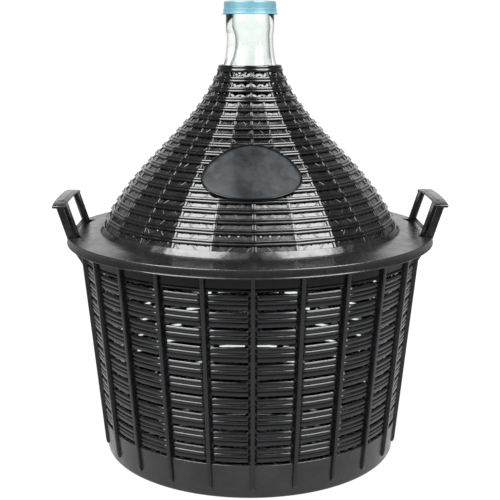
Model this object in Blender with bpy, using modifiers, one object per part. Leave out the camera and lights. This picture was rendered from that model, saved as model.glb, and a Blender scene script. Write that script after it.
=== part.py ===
"""A glass demijohn that stands in a slatted basket under a bell-shaped cover, with a cap on its neck.

Metres, +Z up, the origin at the middle of the basket's underside. The front faces -Y and the two
handles stand at -X and +X. Angles round the axis are measured from the front towards +X.
"""

from math import asin, cos, pi, radians, sin, sqrt, tan, tau

import bmesh
import bpy
from mathutils import Matrix, Vector
from mathutils.geometry import interpolate_bezier

# Gaps between solids that meet, and round the bottle
SEAT_GAP = 0.0003
GLASS_GAP = 0.0028

# Basket
RIM_HEIGHT = 0.2546
RIM_OVERHANG = 0.0125
WALL_LEAN = radians(5.36)
BASKET_WALL = 0.0035
FLOOR_THICKNESS = 0.0060
FOOT_EDGE_RADIUS = 0.0050
RIB_COUNT = 24
RIB_WIDTH = 0.0055
RIB_DEPTH = 0.0095
RIB_PROUD_OF_BAND = 0.0018
RIB_PROUD_OF_SLATS = 0.0050
RIB_TIP_HEIGHT = 0.0050
RIB_TIP_RADIUS = 0.0040
GUSSET_HEIGHT = 0.0230
GUSSET_TOP_HEIGHT = 0.0038
BAND_HEIGHT = 0.0388
SLAT_ROWS = 10
GAP_HEIGHT = 0.0045
TOP_STRIP_HEIGHT = 0.0203

# Rim of the basket
RIM_RADIUS = 0.2100
LEDGE_THICKNESS = 0.0030
LEDGE_WIDTH = 0.0240
SKIRT_HEIGHT = 0.0075
SKIRT_FLARE = 0.0003
SKIRT_WALL = 0.0030
RIM_EDGE_RADIUS = 0.0010

# Handles
HANDLE_WIDTH = 0.1100
HANDLE_HEIGHT = 0.0426
HANDLE_DEPTH = 0.0111
WINDOW_EDGE_DEPTH = 0.0056
HANDLE_LEAN = radians(17.5)
LEG_WIDTH = 0.0200
LEG_WALL = 0.0030
CROSSBAR_HEIGHT = 0.0081
CROSSBAR_THICKNESS = 0.0030
CROSSBAR_SETBACK = 0.0030
GRIP_THICKNESS = 0.0035
GRIP_RISE = 0.0040
GRIP_OVERHANG = 0.0015
GRIP_DEPTH = 0.0147
GRIP_EDGE_RADIUS = 0.0010

# Cover
COVER_WALL = 0.0030
COVER_HEIGHT = 0.1852
COVER_CAP_GAP = 0.0010
COVER_FOOT_BAND = 0.0013
BELL_TOP_OUT_SHARE = 0.146
BELL_TOP_DOWN_SHARE = 0.367
BELL_FOOT_IN_SHARE = 0.302
BELL_FOOT_UP_SHARE = 0.451
OPEN_ROWS = 19
OPEN_ROW_HEIGHT = 0.0054
TOP_TO_FIRST_ROW = 0.0099
LAST_ROW_TO_FOOT = 0.0085
POST_COUNT = 12
POST_TOP_WIDTH = 0.0020
POST_FOOT_WIDTH = 0.0050
FLANGE_WIDTH = 0.0381
FLANGE_THICKNESS = 0.0022
FLANGE_FALL = 0.0022
FLANGE_EDGE_RADIUS = 0.0008
NOTCH_DEPTH = 0.0150
NOTCH_GAP = 0.0015

# Bare oval plate on the cover's front
PLATE_HALF_ANGLE = radians(25.5)
PLATE_TOP_LENGTH = 0.0999
PLATE_WIDEST_LENGTH = 0.1415
PLATE_FOOT_LENGTH = 0.1690
PLATE_THICKNESS = 0.0016
PLATE_GAP = 0.0005

# Glass bottle
GLASS_WALL = 0.0045
BODY_FOOT_GAP = 0.0043
BODY_TOP_GAP = 0.0089
BODY_FOOT_RISE = 0.0277
BODY_TOP_DROP = 0.0416
FOOT_CORNER_WIDTH = 0.0250
STANDING_WIDTH = 0.0380
PUNT_EDGE_HEIGHT = 0.0045
PUNT_HEIGHT = 0.0120
SHOULDER_TOP_LENGTH = 0.0080
SHOULDER_FOOT_CLEARANCE = 0.0080
SHOULDER_REACH = 0.0230
NECK_LENGTH = 0.0656
NECK_RADIUS = 0.0271
NECK_FOOT_HEIGHT = 0.0052
NECK_FOOT_SWELL = 0.0002
NECK_WAIST_HEIGHT = 0.0272
NECK_WAIST_DEPTH = 0.0011
NECK_FINISH_HEIGHT = 0.0402
NECK_EDGE_RADIUS = 0.0012

# Neck cap
CAP_WALL = 0.0017
CAP_HEIGHT = 0.0143
CAP_TOP_THICKNESS = 0.0032
CAP_EDGE_RADIUS = 0.0020
CAP_FLARE = 0.0007
CAP_LIP_REACH = 0.0016
CAP_LIP_THICKNESS = 0.0009
CAP_LIP_RISE = 0.0008

# Facets
RING_STEPS = 36
GLASS_STEPS = 24
CAP_STEPS = 24
ARC_POINTS = 3
CURVE_POINTS = 3
LONG_ARC_POINTS = 9
BELL_POINTS = 200
SHOULDER_POINTS = 5
COLUMNS_PER_POST = 3
PLATE_COLUMNS = 10
PLATE_ROWS = 6
BEVEL_SEGMENTS = 1
MERGE_DISTANCE = 0.00001
SMOOTH_ANGLE = radians(40)

# Levels and radii that the pieces share
SKIRT_FOOT = RIM_HEIGHT - SKIRT_HEIGHT
LEDGE_FOOT = RIM_HEIGHT - LEDGE_THICKNESS
LEDGE_INNER_RADIUS = RIM_RADIUS - LEDGE_WIDTH
FLANGE_FOOT = RIM_HEIGHT + SEAT_GAP
FLANGE_EDGE_TOP = FLANGE_FOOT + FLANGE_THICKNESS
FLANGE_CROWN = FLANGE_EDGE_TOP + FLANGE_FALL
COVER_FOOT = FLANGE_CROWN + SEAT_GAP
COVER_TOP = COVER_FOOT + COVER_HEIGHT
BELL_FOOT = COVER_FOOT + COVER_FOOT_BAND
GLASS_FOOT = FLOOR_THICKNESS + SEAT_GAP
GLASS_TOP = COVER_TOP + NECK_LENGTH
CAP_CEILING = GLASS_TOP + SEAT_GAP
CAP_TOP = CAP_CEILING + CAP_TOP_THICKNESS
CAP_FOOT = CAP_TOP - CAP_HEIGHT
CAP_BORE_RADIUS = NECK_RADIUS + SEAT_GAP
CAP_RADIUS = CAP_BORE_RADIUS + CAP_WALL
CAP_LIP_RADIUS = CAP_RADIUS + CAP_FLARE + CAP_LIP_REACH
COVER_TOP_RADIUS = CAP_LIP_RADIUS + COVER_CAP_GAP + COVER_WALL
COVER_FOOT_RADIUS = RIM_RADIUS - FLANGE_WIDTH
COVER_INNER_RADIUS = COVER_FOOT_RADIUS - COVER_WALL

# Colours from the photograph, then roughness
BLACK_PLASTIC = (0.045, 0.045, 0.048, 1.0)
BLACK_PLASTIC_ROUGHNESS = 0.35
CAP_BLUE = (0.26, 0.53, 0.72, 1.0)
CAP_ROUGHNESS = 0.40
PALE_GREEN_GLASS = (0.83, 0.92, 0.87, 1.0)
GLASS_ROUGHNESS = 0.05
GLASS_ALPHA = 0.35


def remove_old_objects():
    """Empty the file of its objects."""
    for old in list(bpy.data.objects):
        bpy.data.objects.remove(old, do_unlink=True)


def new_collection(name):
    """A collection under the scene."""
    collection = bpy.data.collections.new(name)
    bpy.context.scene.collection.children.link(collection)
    return collection


def add_object(name, data, collection):
    """An object with the given data, in one collection."""
    obj = bpy.data.objects.new(name, data)
    collection.objects.link(obj)
    return obj


def make_material(name, colour, roughness, alpha=1.0):
    """A Principled BSDF material."""
    material = bpy.data.materials.new(name)
    material.use_nodes = True
    material.diffuse_color = colour
    shader = material.node_tree.nodes["Principled BSDF"]
    shader.inputs["Base Color"].default_value = colour
    shader.inputs["Roughness"].default_value = roughness
    shader.inputs["Metallic"].default_value = 0
    shader.inputs["Alpha"].default_value = alpha
    return material


def paint_black(obj):
    """The basket's and the cover's black plastic."""
    obj.data.materials.append(make_material(obj.name, BLACK_PLASTIC, BLACK_PLASTIC_ROUGHNESS))


def hide_cutter(obj):
    """Show a cutter or an added shape as wire, outside the model."""
    obj.hide_render = True
    obj.display_type = "WIRE"


def round_corner(centre, radius, start, end):
    """Points on an arc in the profile's plane, from one angle to another."""
    points = []
    for index in range(ARC_POINTS):
        angle = start + (end - start) * index / (ARC_POINTS - 1)
        points.append((centre[0] + radius * cos(angle), centre[1] + radius * sin(angle)))
    return points


def turned(name, outlines, steps, collection, closed):
    """Outlines in the half plane at +X, turned round the Z axis."""
    mesh = bpy.data.meshes.new(name)
    shape = bmesh.new()
    for outline in outlines:
        points = [shape.verts.new((radius, 0, height)) for radius, height in outline]
        ends = points[1:] + points[:1] if closed else points[1:]
        for first, second in zip(points, ends):
            shape.edges.new((first, second))
    shape.to_mesh(mesh)
    shape.free()
    obj = add_object(name, mesh, collection)
    screw = obj.modifiers.new("turn", "SCREW")
    screw.axis = "Z"
    screw.angle = tau
    screw.steps = steps
    screw.render_steps = steps
    screw.use_merge_vertices = True
    screw.merge_threshold = MERGE_DISTANCE
    screw.use_smooth_shade = True
    return obj


def add_solidify(obj, thickness, offset):
    """Give an open surface its wall."""
    wall = obj.modifiers.new("wall", "SOLIDIFY")
    wall.thickness = thickness
    wall.offset = offset
    wall.use_even_offset = True


def add_boolean(obj, operation, collection):
    """Join or cut with all the shapes of a collection."""
    boolean = obj.modifiers.new(operation.lower(), "BOOLEAN")
    boolean.operation = operation
    boolean.operand_type = "COLLECTION"
    boolean.collection = collection
    boolean.solver = "EXACT"


def smooth_by_angle(obj):
    """Round faces smooth, corners sharp."""
    obj.data.shade_smooth()
    obj.data.set_sharp_from_angle(angle=SMOOTH_ANGLE)


def flat_shape(name, outline, thickness, collection, transform):
    """A closed outline in the XY plane, thick along Z, made a mesh and moved by a transform."""
    curve = bpy.data.curves.new(name, "CURVE")
    curve.dimensions = "2D"
    curve.fill_mode = "BOTH"
    curve.extrude = thickness / 2
    spline = curve.splines.new("POLY")
    spline.points.add(len(outline) - 1)
    for point, place in zip(spline.points, outline):
        point.co = (place[0], place[1], 0, 1)
    spline.use_cyclic_u = True
    drawn = add_object(name, curve, collection)
    mesh = bpy.data.meshes.new_from_object(drawn.evaluated_get(bpy.context.evaluated_depsgraph_get()))
    bpy.data.objects.remove(drawn, do_unlink=True)
    shape = bmesh.new()
    shape.from_mesh(mesh)
    bmesh.ops.remove_doubles(shape, verts=shape.verts, dist=MERGE_DISTANCE)
    bmesh.ops.recalc_face_normals(shape, faces=shape.faces)
    shape.to_mesh(mesh)
    shape.free()
    mesh.transform(transform)
    mesh.name = name
    return add_object(name, mesh, collection)


def box(name, low, high, collection, transform):
    """A box between two corners, moved by a transform."""
    mesh = bpy.data.meshes.new(name)
    shape = bmesh.new()
    bmesh.ops.create_cube(shape, size=1)
    size = Vector(high) - Vector(low)
    bmesh.ops.scale(shape, vec=size, verts=shape.verts)
    bmesh.ops.translate(shape, vec=Vector(low) + size / 2, verts=shape.verts)
    shape.to_mesh(mesh)
    shape.free()
    mesh.transform(transform)
    return add_object(name, mesh, collection)


def rib_radius(height):
    """Outer radius of the ribs' straight part, which leans inwards from under the rim."""
    return RIM_RADIUS - RIM_OVERHANG - tan(WALL_LEAN) * (RIM_HEIGHT - height)


def band_radius(height):
    """Outer radius of the plain bottom band."""
    return rib_radius(height) - RIB_PROUD_OF_BAND


def slat_radius(height):
    """Outer radius of the slat rows and the top strip."""
    return rib_radius(height) - RIB_PROUD_OF_SLATS


def inside_radius(height):
    """Radius of the room between the ribs' and the slats' inner sides."""
    return rib_radius(height) - max(RIB_DEPTH, RIB_PROUD_OF_SLATS + BASKET_WALL)


def wall_ring(foot, top):
    """Section of a ring of the slatted wall."""
    return [
        (slat_radius(top), top),
        (slat_radius(foot), foot),
        (slat_radius(foot) - BASKET_WALL, foot),
        (slat_radius(top) - BASKET_WALL, top),
    ]


def make_wall_rings(collection):
    """The slat rows and the plain strip under the rim."""
    strip_top = LEDGE_FOOT - SEAT_GAP
    strip_foot = strip_top - TOP_STRIP_HEIGHT
    pitch = (strip_foot - BAND_HEIGHT - GAP_HEIGHT) / SLAT_ROWS
    outlines = [wall_ring(strip_foot, strip_top)]
    for row in range(SLAT_ROWS):
        foot = BAND_HEIGHT + GAP_HEIGHT + row * pitch
        outlines.append(wall_ring(foot, foot + pitch - GAP_HEIGHT))
    hide_cutter(turned("wall_rings", outlines, RIB_COUNT, collection, closed=True))


def gusset_curve(top):
    """Outer edge of a handle's gusset, from the rib out to the skirt."""
    foot = top - GUSSET_HEIGHT
    middle = top - GUSSET_HEIGHT / 2
    edge = RIM_RADIUS - RIM_EDGE_RADIUS
    curve = interpolate_bezier(
        Vector((rib_radius(foot), foot)),
        Vector((rib_radius(middle), middle)),
        Vector((edge - GUSSET_HEIGHT / 4, top - GUSSET_TOP_HEIGHT - GUSSET_HEIGHT / 4)),
        Vector((edge, top - GUSSET_TOP_HEIGHT)),
        CURVE_POINTS,
    )
    return [(point.x, point.y) for point in curve] + [(edge, top)]


def add_ribs(name, head, turns, collection):
    """Upright ribs with a rounded foot and the given head, turned from +X, as one mesh."""
    outline = [
        (rib_radius(RIB_TIP_HEIGHT) - RIB_DEPTH, RIB_TIP_HEIGHT),
        (rib_radius(RIB_TIP_HEIGHT) - RIB_TIP_RADIUS, RIB_TIP_HEIGHT),
        (rib_radius(RIB_TIP_HEIGHT), RIB_TIP_HEIGHT + RIB_TIP_RADIUS),
    ]
    top = head[-1][1]
    outline += head + [(rib_radius(top) - RIB_DEPTH, top)]
    upright = Matrix.Rotation(pi / 2, 4, "X")
    ribs = flat_shape(name, outline, RIB_WIDTH, collection, upright)
    shape = bmesh.new()
    shape.from_mesh(ribs.data)
    first = list(shape.verts) + list(shape.edges) + list(shape.faces)
    for index in turns[1:]:
        copied = bmesh.ops.duplicate(shape, geom=first)["geom"]
        corners = [item for item in copied if isinstance(item, bmesh.types.BMVert)]
        turn = Matrix.Rotation(tau * (index - turns[0]) / RIB_COUNT, 3, "Z")
        bmesh.ops.rotate(shape, verts=corners, cent=(0, 0, 0), matrix=turn)
    bmesh.ops.rotate(shape, verts=shape.verts, cent=(0, 0, 0),
                     matrix=Matrix.Rotation(tau * turns[0] / RIB_COUNT, 3, "Z"))
    shape.to_mesh(ribs.data)
    shape.free()
    hide_cutter(ribs)


def make_ribs(collection):
    """Ribs that run up behind the skirt, and under each handle one with a gusset."""
    strip_top = LEDGE_FOOT - SEAT_GAP
    handle_ribs = [0, RIB_COUNT // 2]
    plain_ribs = [index for index in range(RIB_COUNT) if index not in handle_ribs]
    add_ribs("plain_ribs", [(rib_radius(strip_top), strip_top)], plain_ribs, collection)
    add_ribs("handle_ribs", gusset_curve(SKIRT_FOOT - SEAT_GAP), handle_ribs, collection)


def make_basket_body(parts):
    """Floor and bottom band, joined with the slatted wall and its ribs."""
    wall = new_collection("basket_wall")
    make_wall_rings(wall)
    make_ribs(wall)
    edge = (band_radius(FOOT_EDGE_RADIUS) - FOOT_EDGE_RADIUS, FOOT_EDGE_RADIUS)
    outline = [
        (0, FLOOR_THICKNESS),
        (band_radius(FLOOR_THICKNESS) - BASKET_WALL, FLOOR_THICKNESS),
        (band_radius(BAND_HEIGHT) - BASKET_WALL, BAND_HEIGHT),
        (band_radius(BAND_HEIGHT), BAND_HEIGHT),
    ]
    outline += round_corner(edge, FOOT_EDGE_RADIUS, 0, -pi / 2)
    outline += [(0, 0)]
    body = turned("basket_body", [outline], RIB_COUNT, parts, closed=False)
    add_boolean(body, "UNION", wall)
    paint_black(body)


def make_basket_rim(parts):
    """Ledge that carries the cover, and the skirt at its edge."""
    edge = (RIM_RADIUS - RIM_EDGE_RADIUS, RIM_HEIGHT - RIM_EDGE_RADIUS)
    outline = [(LEDGE_INNER_RADIUS, RIM_HEIGHT)]
    outline += round_corner(edge, RIM_EDGE_RADIUS, pi / 2, 0)
    outline += [
        (RIM_RADIUS + SKIRT_FLARE, SKIRT_FOOT),
        (RIM_RADIUS - SKIRT_WALL, SKIRT_FOOT),
        (RIM_RADIUS - SKIRT_WALL, LEDGE_FOOT),
        (LEDGE_INNER_RADIUS, LEDGE_FOOT),
    ]
    paint_black(turned("basket_rim", [outline], RING_STEPS, parts, closed=True))


def notch_radius():
    """Radius of the arc at the back of the flange's notches."""
    return RIM_RADIUS - NOTCH_DEPTH


def handle_foot_radius():
    """Distance from the axis to a leg's inner face, just clear of the notch's arc."""
    window_edge = HANDLE_WIDTH / 2 - LEG_WIDTH
    return sqrt(notch_radius() ** 2 - window_edge ** 2) + SEAT_GAP


def handle_lean():
    """Shear that leans a handle outwards from its foot."""
    lean = Matrix.Identity(4)
    lean[0][2] = tan(HANDLE_LEAN)
    lean[0][3] = -tan(HANDLE_LEAN) * FLANGE_FOOT
    return lean


def make_leg_pockets(collection):
    """Hollows of the two legs, open towards the axis, the crossbar's set-back and the outer hollow."""
    inner = handle_foot_radius()
    outer = inner + HANDLE_DEPTH
    leg_outer = HANDLE_WIDTH / 2
    leg_inner = leg_outer - LEG_WIDTH
    for side in (-1, 1):
        edges = sorted((side * (leg_inner + LEG_WALL), side * (leg_outer - LEG_WALL)))
        low = (inner - LEG_WALL, edges[0], FLANGE_FOOT + LEG_WALL)
        high = (outer - LEG_WALL, edges[1], FLANGE_FOOT + HANDLE_HEIGHT - GRIP_RISE - GRIP_THICKNESS)
        hide_cutter(box("leg_pocket", low, high, collection, handle_lean()))
    low = (inner - LEG_WALL, -leg_inner, FLANGE_FOOT + CROSSBAR_HEIGHT - CROSSBAR_THICKNESS - LEG_WALL)
    high = (inner + CROSSBAR_SETBACK, leg_inner, FLANGE_FOOT + CROSSBAR_HEIGHT + LEG_WALL)
    hide_cutter(box("crossbar_setback", low, high, collection, handle_lean()))
    outline = [
        (inner + WINDOW_EDGE_DEPTH, -leg_inner), (outer, -leg_outer), (outer + HANDLE_DEPTH, -leg_outer),
        (outer + HANDLE_DEPTH, leg_outer), (outer, leg_outer), (inner + WINDOW_EDGE_DEPTH, leg_inner),
    ]
    middle = Matrix.Translation((0, 0, FLANGE_FOOT + HANDLE_HEIGHT / 2))
    hide_cutter(flat_shape("outer_hollow", outline, 2 * HANDLE_HEIGHT, collection, handle_lean() @ middle))


def make_grip(collection):
    """Arched plate across the tops of the legs, with a lip that overhangs outwards."""
    half = HANDLE_WIDTH / 2 + GRIP_OVERHANG
    crown = FLANGE_FOOT + HANDLE_HEIGHT
    top_edge = []
    for index in range(LONG_ARC_POINTS):
        share = 2 * index / (LONG_ARC_POINTS - 1) - 1
        top_edge.append((half * share, crown - GRIP_RISE * share ** 2))
    foot_edge = [(side, height - GRIP_THICKNESS) for side, height in reversed(top_edge)]
    inner = handle_foot_radius() + tan(HANDLE_LEAN) * (HANDLE_HEIGHT - GRIP_RISE)
    sideways = Matrix(((0, 0, 1, inner + GRIP_DEPTH / 2), (1, 0, 0, 0), (0, 1, 0, 0), (0, 0, 0, 1)))
    grip = flat_shape("grip", top_edge + foot_edge, GRIP_DEPTH, collection, sideways)
    bevel = grip.modifiers.new("rounded_edge", "BEVEL")
    bevel.width = GRIP_EDGE_RADIUS
    bevel.segments = BEVEL_SEGMENTS
    bevel.limit_method = "ANGLE"
    hide_cutter(grip)


def make_handles(parts):
    """Two leaning handles, each with channel legs, a low crossbar and a grip plate."""
    pockets = new_collection("handle_pockets")
    grips = new_collection("handle_grips")
    make_leg_pockets(pockets)
    make_grip(grips)
    foot = FLANGE_FOOT
    bar_top = foot + CROSSBAR_HEIGHT
    bar_foot = bar_top - CROSSBAR_THICKNESS
    leg_top = foot + HANDLE_HEIGHT - GRIP_RISE - GRIP_THICKNESS / 4
    outer = HANDLE_WIDTH / 2
    inner = outer - LEG_WIDTH
    outline = [
        (outer, foot), (outer, leg_top), (inner, leg_top), (inner, bar_top),
        (-inner, bar_top), (-inner, leg_top), (-outer, leg_top), (-outer, foot),
        (-inner, foot), (-inner, bar_foot), (inner, bar_foot), (inner, foot),
    ]
    depth_centre = handle_foot_radius() + HANDLE_DEPTH / 2
    sideways = Matrix(((0, 0, 1, depth_centre), (1, 0, 0, 0), (0, 1, 0, 0), (0, 0, 0, 1)))
    right = flat_shape("handle_right", outline, HANDLE_DEPTH, parts, handle_lean() @ sideways)
    add_boolean(right, "DIFFERENCE", pockets)
    add_boolean(right, "UNION", grips)
    whole = bpy.data.meshes.new_from_object(right.evaluated_get(bpy.context.evaluated_depsgraph_get()))
    right.modifiers.clear()
    right.data = whole
    smooth_by_angle(right)
    left = add_object("handle_left", whole.copy(), parts)
    left.rotation_euler.z = pi
    paint_black(right)
    paint_black(left)


def bell_curve():
    """Outer profile of the cover from its top to its foot, as radius and height."""
    top = Vector((COVER_TOP_RADIUS, COVER_TOP))
    foot = Vector((COVER_FOOT_RADIUS, BELL_FOOT))
    width, fall = foot - top
    top_reach = Vector((width * BELL_TOP_OUT_SHARE, fall * BELL_TOP_DOWN_SHARE))
    foot_reach = Vector((width * BELL_FOOT_IN_SHARE, fall * BELL_FOOT_UP_SHARE))
    return interpolate_bezier(top, top + top_reach, foot - foot_reach, foot, BELL_POINTS)


def bell_length():
    """Length along the cover's outer profile."""
    points = bell_curve()
    return sum((end - start).length for start, end in zip(points, points[1:]))


def bell_point(length, offset=0):
    """Point at a length down the cover's outer profile, moved along its outward normal."""
    walked = 0
    points = bell_curve()
    for start, end in zip(points, points[1:]):
        step = (end - start).length
        if walked + step >= length or end == points[-1]:
            along = (end - start) / step
            normal = Vector((-along.y, along.x))
            return start + along * (length - walked) + normal * offset
        walked += step
    return points[-1]


def around_axis(radius, angle, height):
    """A place from its radius, its angle from the front and its height."""
    return Vector((radius * sin(angle), -radius * cos(angle), height))


def cover_stations():
    """Profile points at the edges of the ring pairs, from the foot to the top."""
    pitch = (bell_length() - TOP_TO_FIRST_ROW - LAST_ROW_TO_FOOT) / (OPEN_ROWS - 1)
    lengths = [0]
    for row in range(OPEN_ROWS):
        middle = TOP_TO_FIRST_ROW + row * pitch
        lengths += [middle - OPEN_ROW_HEIGHT / 2, middle + OPEN_ROW_HEIGHT / 2]
    lengths.append(bell_length())
    stations = [bell_point(length) for length in lengths]
    stations.append(Vector((COVER_FOOT_RADIUS, COVER_FOOT)))
    return stations[::-1]


def cover_column_angle(column, station, station_count, radius):
    """Angle of a column's edge: each post has its own narrow column and two wide ones beside it."""
    post, part = divmod(column, COLUMNS_PER_POST)
    share = station / (station_count - 1)
    width = POST_FOOT_WIDTH + (POST_TOP_WIDTH - POST_FOOT_WIDTH) * share
    half_width = width / radius / 2
    between = pi / POST_COUNT
    return tau * post / POST_COUNT + (-half_width, half_width, between)[part]


def make_cover_cone(parts):
    """Bell of ring pairs on posts, bent from a grid with the open rows taken out."""
    stations = cover_stations()
    columns = POST_COUNT * COLUMNS_PER_POST
    bands = len(stations) - 1
    mesh = bpy.data.meshes.new("cover_cone")
    shape = bmesh.new()
    bmesh.ops.create_grid(shape, x_segments=columns, y_segments=bands, size=0.5)
    bmesh.ops.translate(shape, vec=(0.5, 0.5, 0), verts=shape.verts)
    openings = []
    for face in shape.faces:
        middle = face.calc_center_median()
        column = int(middle.x * columns)
        band = int(middle.y * bands)
        beside_post = column % COLUMNS_PER_POST != 0
        if beside_post and band % 2 == 0 and 0 < band < bands - 1:
            openings.append(face)
    bmesh.ops.delete(shape, geom=openings, context="FACES")
    for corner in shape.verts:
        column = round(corner.co.x * columns)
        station = round(corner.co.y * bands)
        radius, height = stations[station]
        angle = cover_column_angle(column, station, len(stations), radius)
        corner.co = around_axis(radius, angle, height)
    bmesh.ops.remove_doubles(shape, verts=shape.verts, dist=MERGE_DISTANCE)
    shape.to_mesh(mesh)
    shape.free()
    cone = add_object("cover_cone", mesh, parts)
    smooth_by_angle(cone)
    add_solidify(cone, COVER_WALL, -1)
    paint_black(cone)
    return cone


def make_notch_cutters(collection):
    """Room for the handles: a block behind an arc, at each side."""
    half_width = HANDLE_WIDTH / 2 + NOTCH_GAP
    reach = asin(half_width / notch_radius())
    outline = []
    for index in range(LONG_ARC_POINTS):
        angle = reach * (2 * index / (LONG_ARC_POINTS - 1) - 1)
        outline.append((notch_radius() * cos(angle), notch_radius() * sin(angle)))
    outline += [(RIM_RADIUS + NOTCH_DEPTH, half_width), (RIM_RADIUS + NOTCH_DEPTH, -half_width)]
    middle = Matrix.Translation((0, 0, (FLANGE_FOOT + FLANGE_CROWN) / 2))
    for side in (0, pi):
        place = middle @ Matrix.Rotation(side, 4, "Z")
        hide_cutter(flat_shape("handle_notch", outline, NOTCH_DEPTH, collection, place))


def make_cover_flange(parts):
    """Wide, slightly falling flange that rests on the ledge, with a notch round each handle."""
    edge = (RIM_RADIUS - FLANGE_EDGE_RADIUS, FLANGE_EDGE_TOP - FLANGE_EDGE_RADIUS)
    outline = [(COVER_INNER_RADIUS, FLANGE_CROWN)]
    outline += round_corner(edge, FLANGE_EDGE_RADIUS, pi / 2, 0)
    outline += [
        (RIM_RADIUS, FLANGE_FOOT),
        (LEDGE_INNER_RADIUS, FLANGE_FOOT),
        (COVER_INNER_RADIUS, FLANGE_CROWN - FLANGE_THICKNESS),
    ]
    notches = new_collection("flange_notches")
    make_notch_cutters(notches)
    flange = turned("cover_flange", [outline], RING_STEPS, parts, closed=True)
    add_boolean(flange, "DIFFERENCE", notches)
    paint_black(flange)
    return flange


def make_cover_plate(parts):
    """Oval plate that follows the bell, its lower half shorter than its upper half."""
    mesh = bpy.data.meshes.new("cover_plate")
    shape = bmesh.new()
    bmesh.ops.create_grid(shape, x_segments=PLATE_COLUMNS, y_segments=PLATE_ROWS, size=1)
    for corner in shape.verts:
        across = corner.co.x * sqrt(1 - corner.co.y ** 2 / 2)
        up = corner.co.y * sqrt(1 - corner.co.x ** 2 / 2)
        end = PLATE_TOP_LENGTH if up > 0 else PLATE_FOOT_LENGTH
        length = PLATE_WIDEST_LENGTH + (end - PLATE_WIDEST_LENGTH) * abs(up)
        radius, height = bell_point(length, PLATE_GAP)
        corner.co = around_axis(radius, across * PLATE_HALF_ANGLE, height)
    shape.to_mesh(mesh)
    shape.free()
    plate = add_object("cover_plate", mesh, parts)
    smooth_by_angle(plate)
    add_solidify(plate, PLATE_THICKNESS, 1)
    paint_black(plate)
    return plate


def curved_points(start, start_reach, end_reach, end, count):
    """Points along a smooth curve between two profile points, without its first one."""
    curve = interpolate_bezier(Vector(start), Vector(start_reach), Vector(end_reach), Vector(end), count)
    return [(point.x, point.y) for point in curve[1:]]


def make_glass_bottle(parts):
    """Blown bottle: neck, shoulders just inside the cover, tapering body and raised base."""
    inside_cover = -(COVER_WALL + GLASS_GAP)
    shoulder_foot_length = bell_length() - SHOULDER_FOOT_CLEARANCE
    edge = (NECK_RADIUS - NECK_EDGE_RADIUS, GLASS_TOP - NECK_EDGE_RADIUS)
    outline = round_corner(edge, NECK_EDGE_RADIUS, pi / 2, 0)
    outline += [
        (NECK_RADIUS, COVER_TOP + NECK_FINISH_HEIGHT),
        (NECK_RADIUS - NECK_WAIST_DEPTH, COVER_TOP + NECK_WAIST_HEIGHT),
        (NECK_RADIUS + NECK_FOOT_SWELL, COVER_TOP + NECK_FOOT_HEIGHT),
    ]
    for index in range(SHOULDER_POINTS):
        share = index / (SHOULDER_POINTS - 1)
        length = SHOULDER_TOP_LENGTH + (shoulder_foot_length - SHOULDER_TOP_LENGTH) * share
        outline.append(tuple(bell_point(length, inside_cover)))
    along = (Vector(outline[-1]) - Vector(outline[-2])).normalized() * SHOULDER_REACH
    shoulder = Vector((COVER_INNER_RADIUS - GLASS_GAP, FLANGE_FOOT))
    outline.append(tuple(shoulder))
    top_height = RIM_HEIGHT - BODY_TOP_DROP
    top_radius = inside_radius(top_height) - BODY_TOP_GAP
    top_reach = (top_radius, top_height + (FLANGE_FOOT - top_height) / 2)
    outline += curved_points(shoulder, shoulder + along, top_reach, (top_radius, top_height), CURVE_POINTS)
    foot_height = GLASS_FOOT + BODY_FOOT_RISE
    foot_radius = inside_radius(foot_height) - BODY_FOOT_GAP
    standing = (foot_radius - FOOT_CORNER_WIDTH, GLASS_FOOT)
    foot_reach = (foot_radius, GLASS_FOOT + BODY_FOOT_RISE / 2)
    standing_reach = (foot_radius - FOOT_CORNER_WIDTH / 2, GLASS_FOOT)
    outline.append((foot_radius, foot_height))
    outline += curved_points((foot_radius, foot_height), foot_reach, standing_reach, standing, CURVE_POINTS)
    outline.append((standing[0] - STANDING_WIDTH, GLASS_FOOT + PUNT_EDGE_HEIGHT))
    outline.append((0, GLASS_FOOT + PUNT_HEIGHT))
    bottle = turned("glass_bottle", [outline], GLASS_STEPS, parts, closed=False)
    add_solidify(bottle, GLASS_WALL, -1)
    bottle.data.materials.append(
        make_material("glass_bottle", PALE_GREEN_GLASS, GLASS_ROUGHNESS, GLASS_ALPHA))
    return bottle


def make_neck_cap(parts):
    """Soft cap pressed over the mouth, with a thin lip at its foot."""
    skirt = CAP_RADIUS + CAP_FLARE
    lip_top = CAP_FOOT + CAP_LIP_THICKNESS
    edge = (CAP_RADIUS - CAP_EDGE_RADIUS, CAP_TOP - CAP_EDGE_RADIUS)
    outline = [(0, CAP_TOP)]
    outline += round_corner(edge, CAP_EDGE_RADIUS, pi / 2, 0)
    outline += [
        (skirt, lip_top + CAP_LIP_RISE),
        (CAP_LIP_RADIUS, lip_top),
        (CAP_LIP_RADIUS, CAP_FOOT),
        (CAP_BORE_RADIUS, CAP_FOOT),
        (CAP_BORE_RADIUS, CAP_CEILING),
        (0, CAP_CEILING),
    ]
    cap = turned("neck_cap", [outline], CAP_STEPS, parts, closed=False)
    cap.data.materials.append(make_material("neck_cap", CAP_BLUE, CAP_ROUGHNESS))
    return cap


def parent_to_axis(name, parent, pieces, parts):
    """An empty on the vertical axis that carries the pieces that lift off together."""
    axis = add_object(name, None, parts)
    axis.parent = parent
    for piece in pieces:
        piece.parent = axis
    return axis


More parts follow.
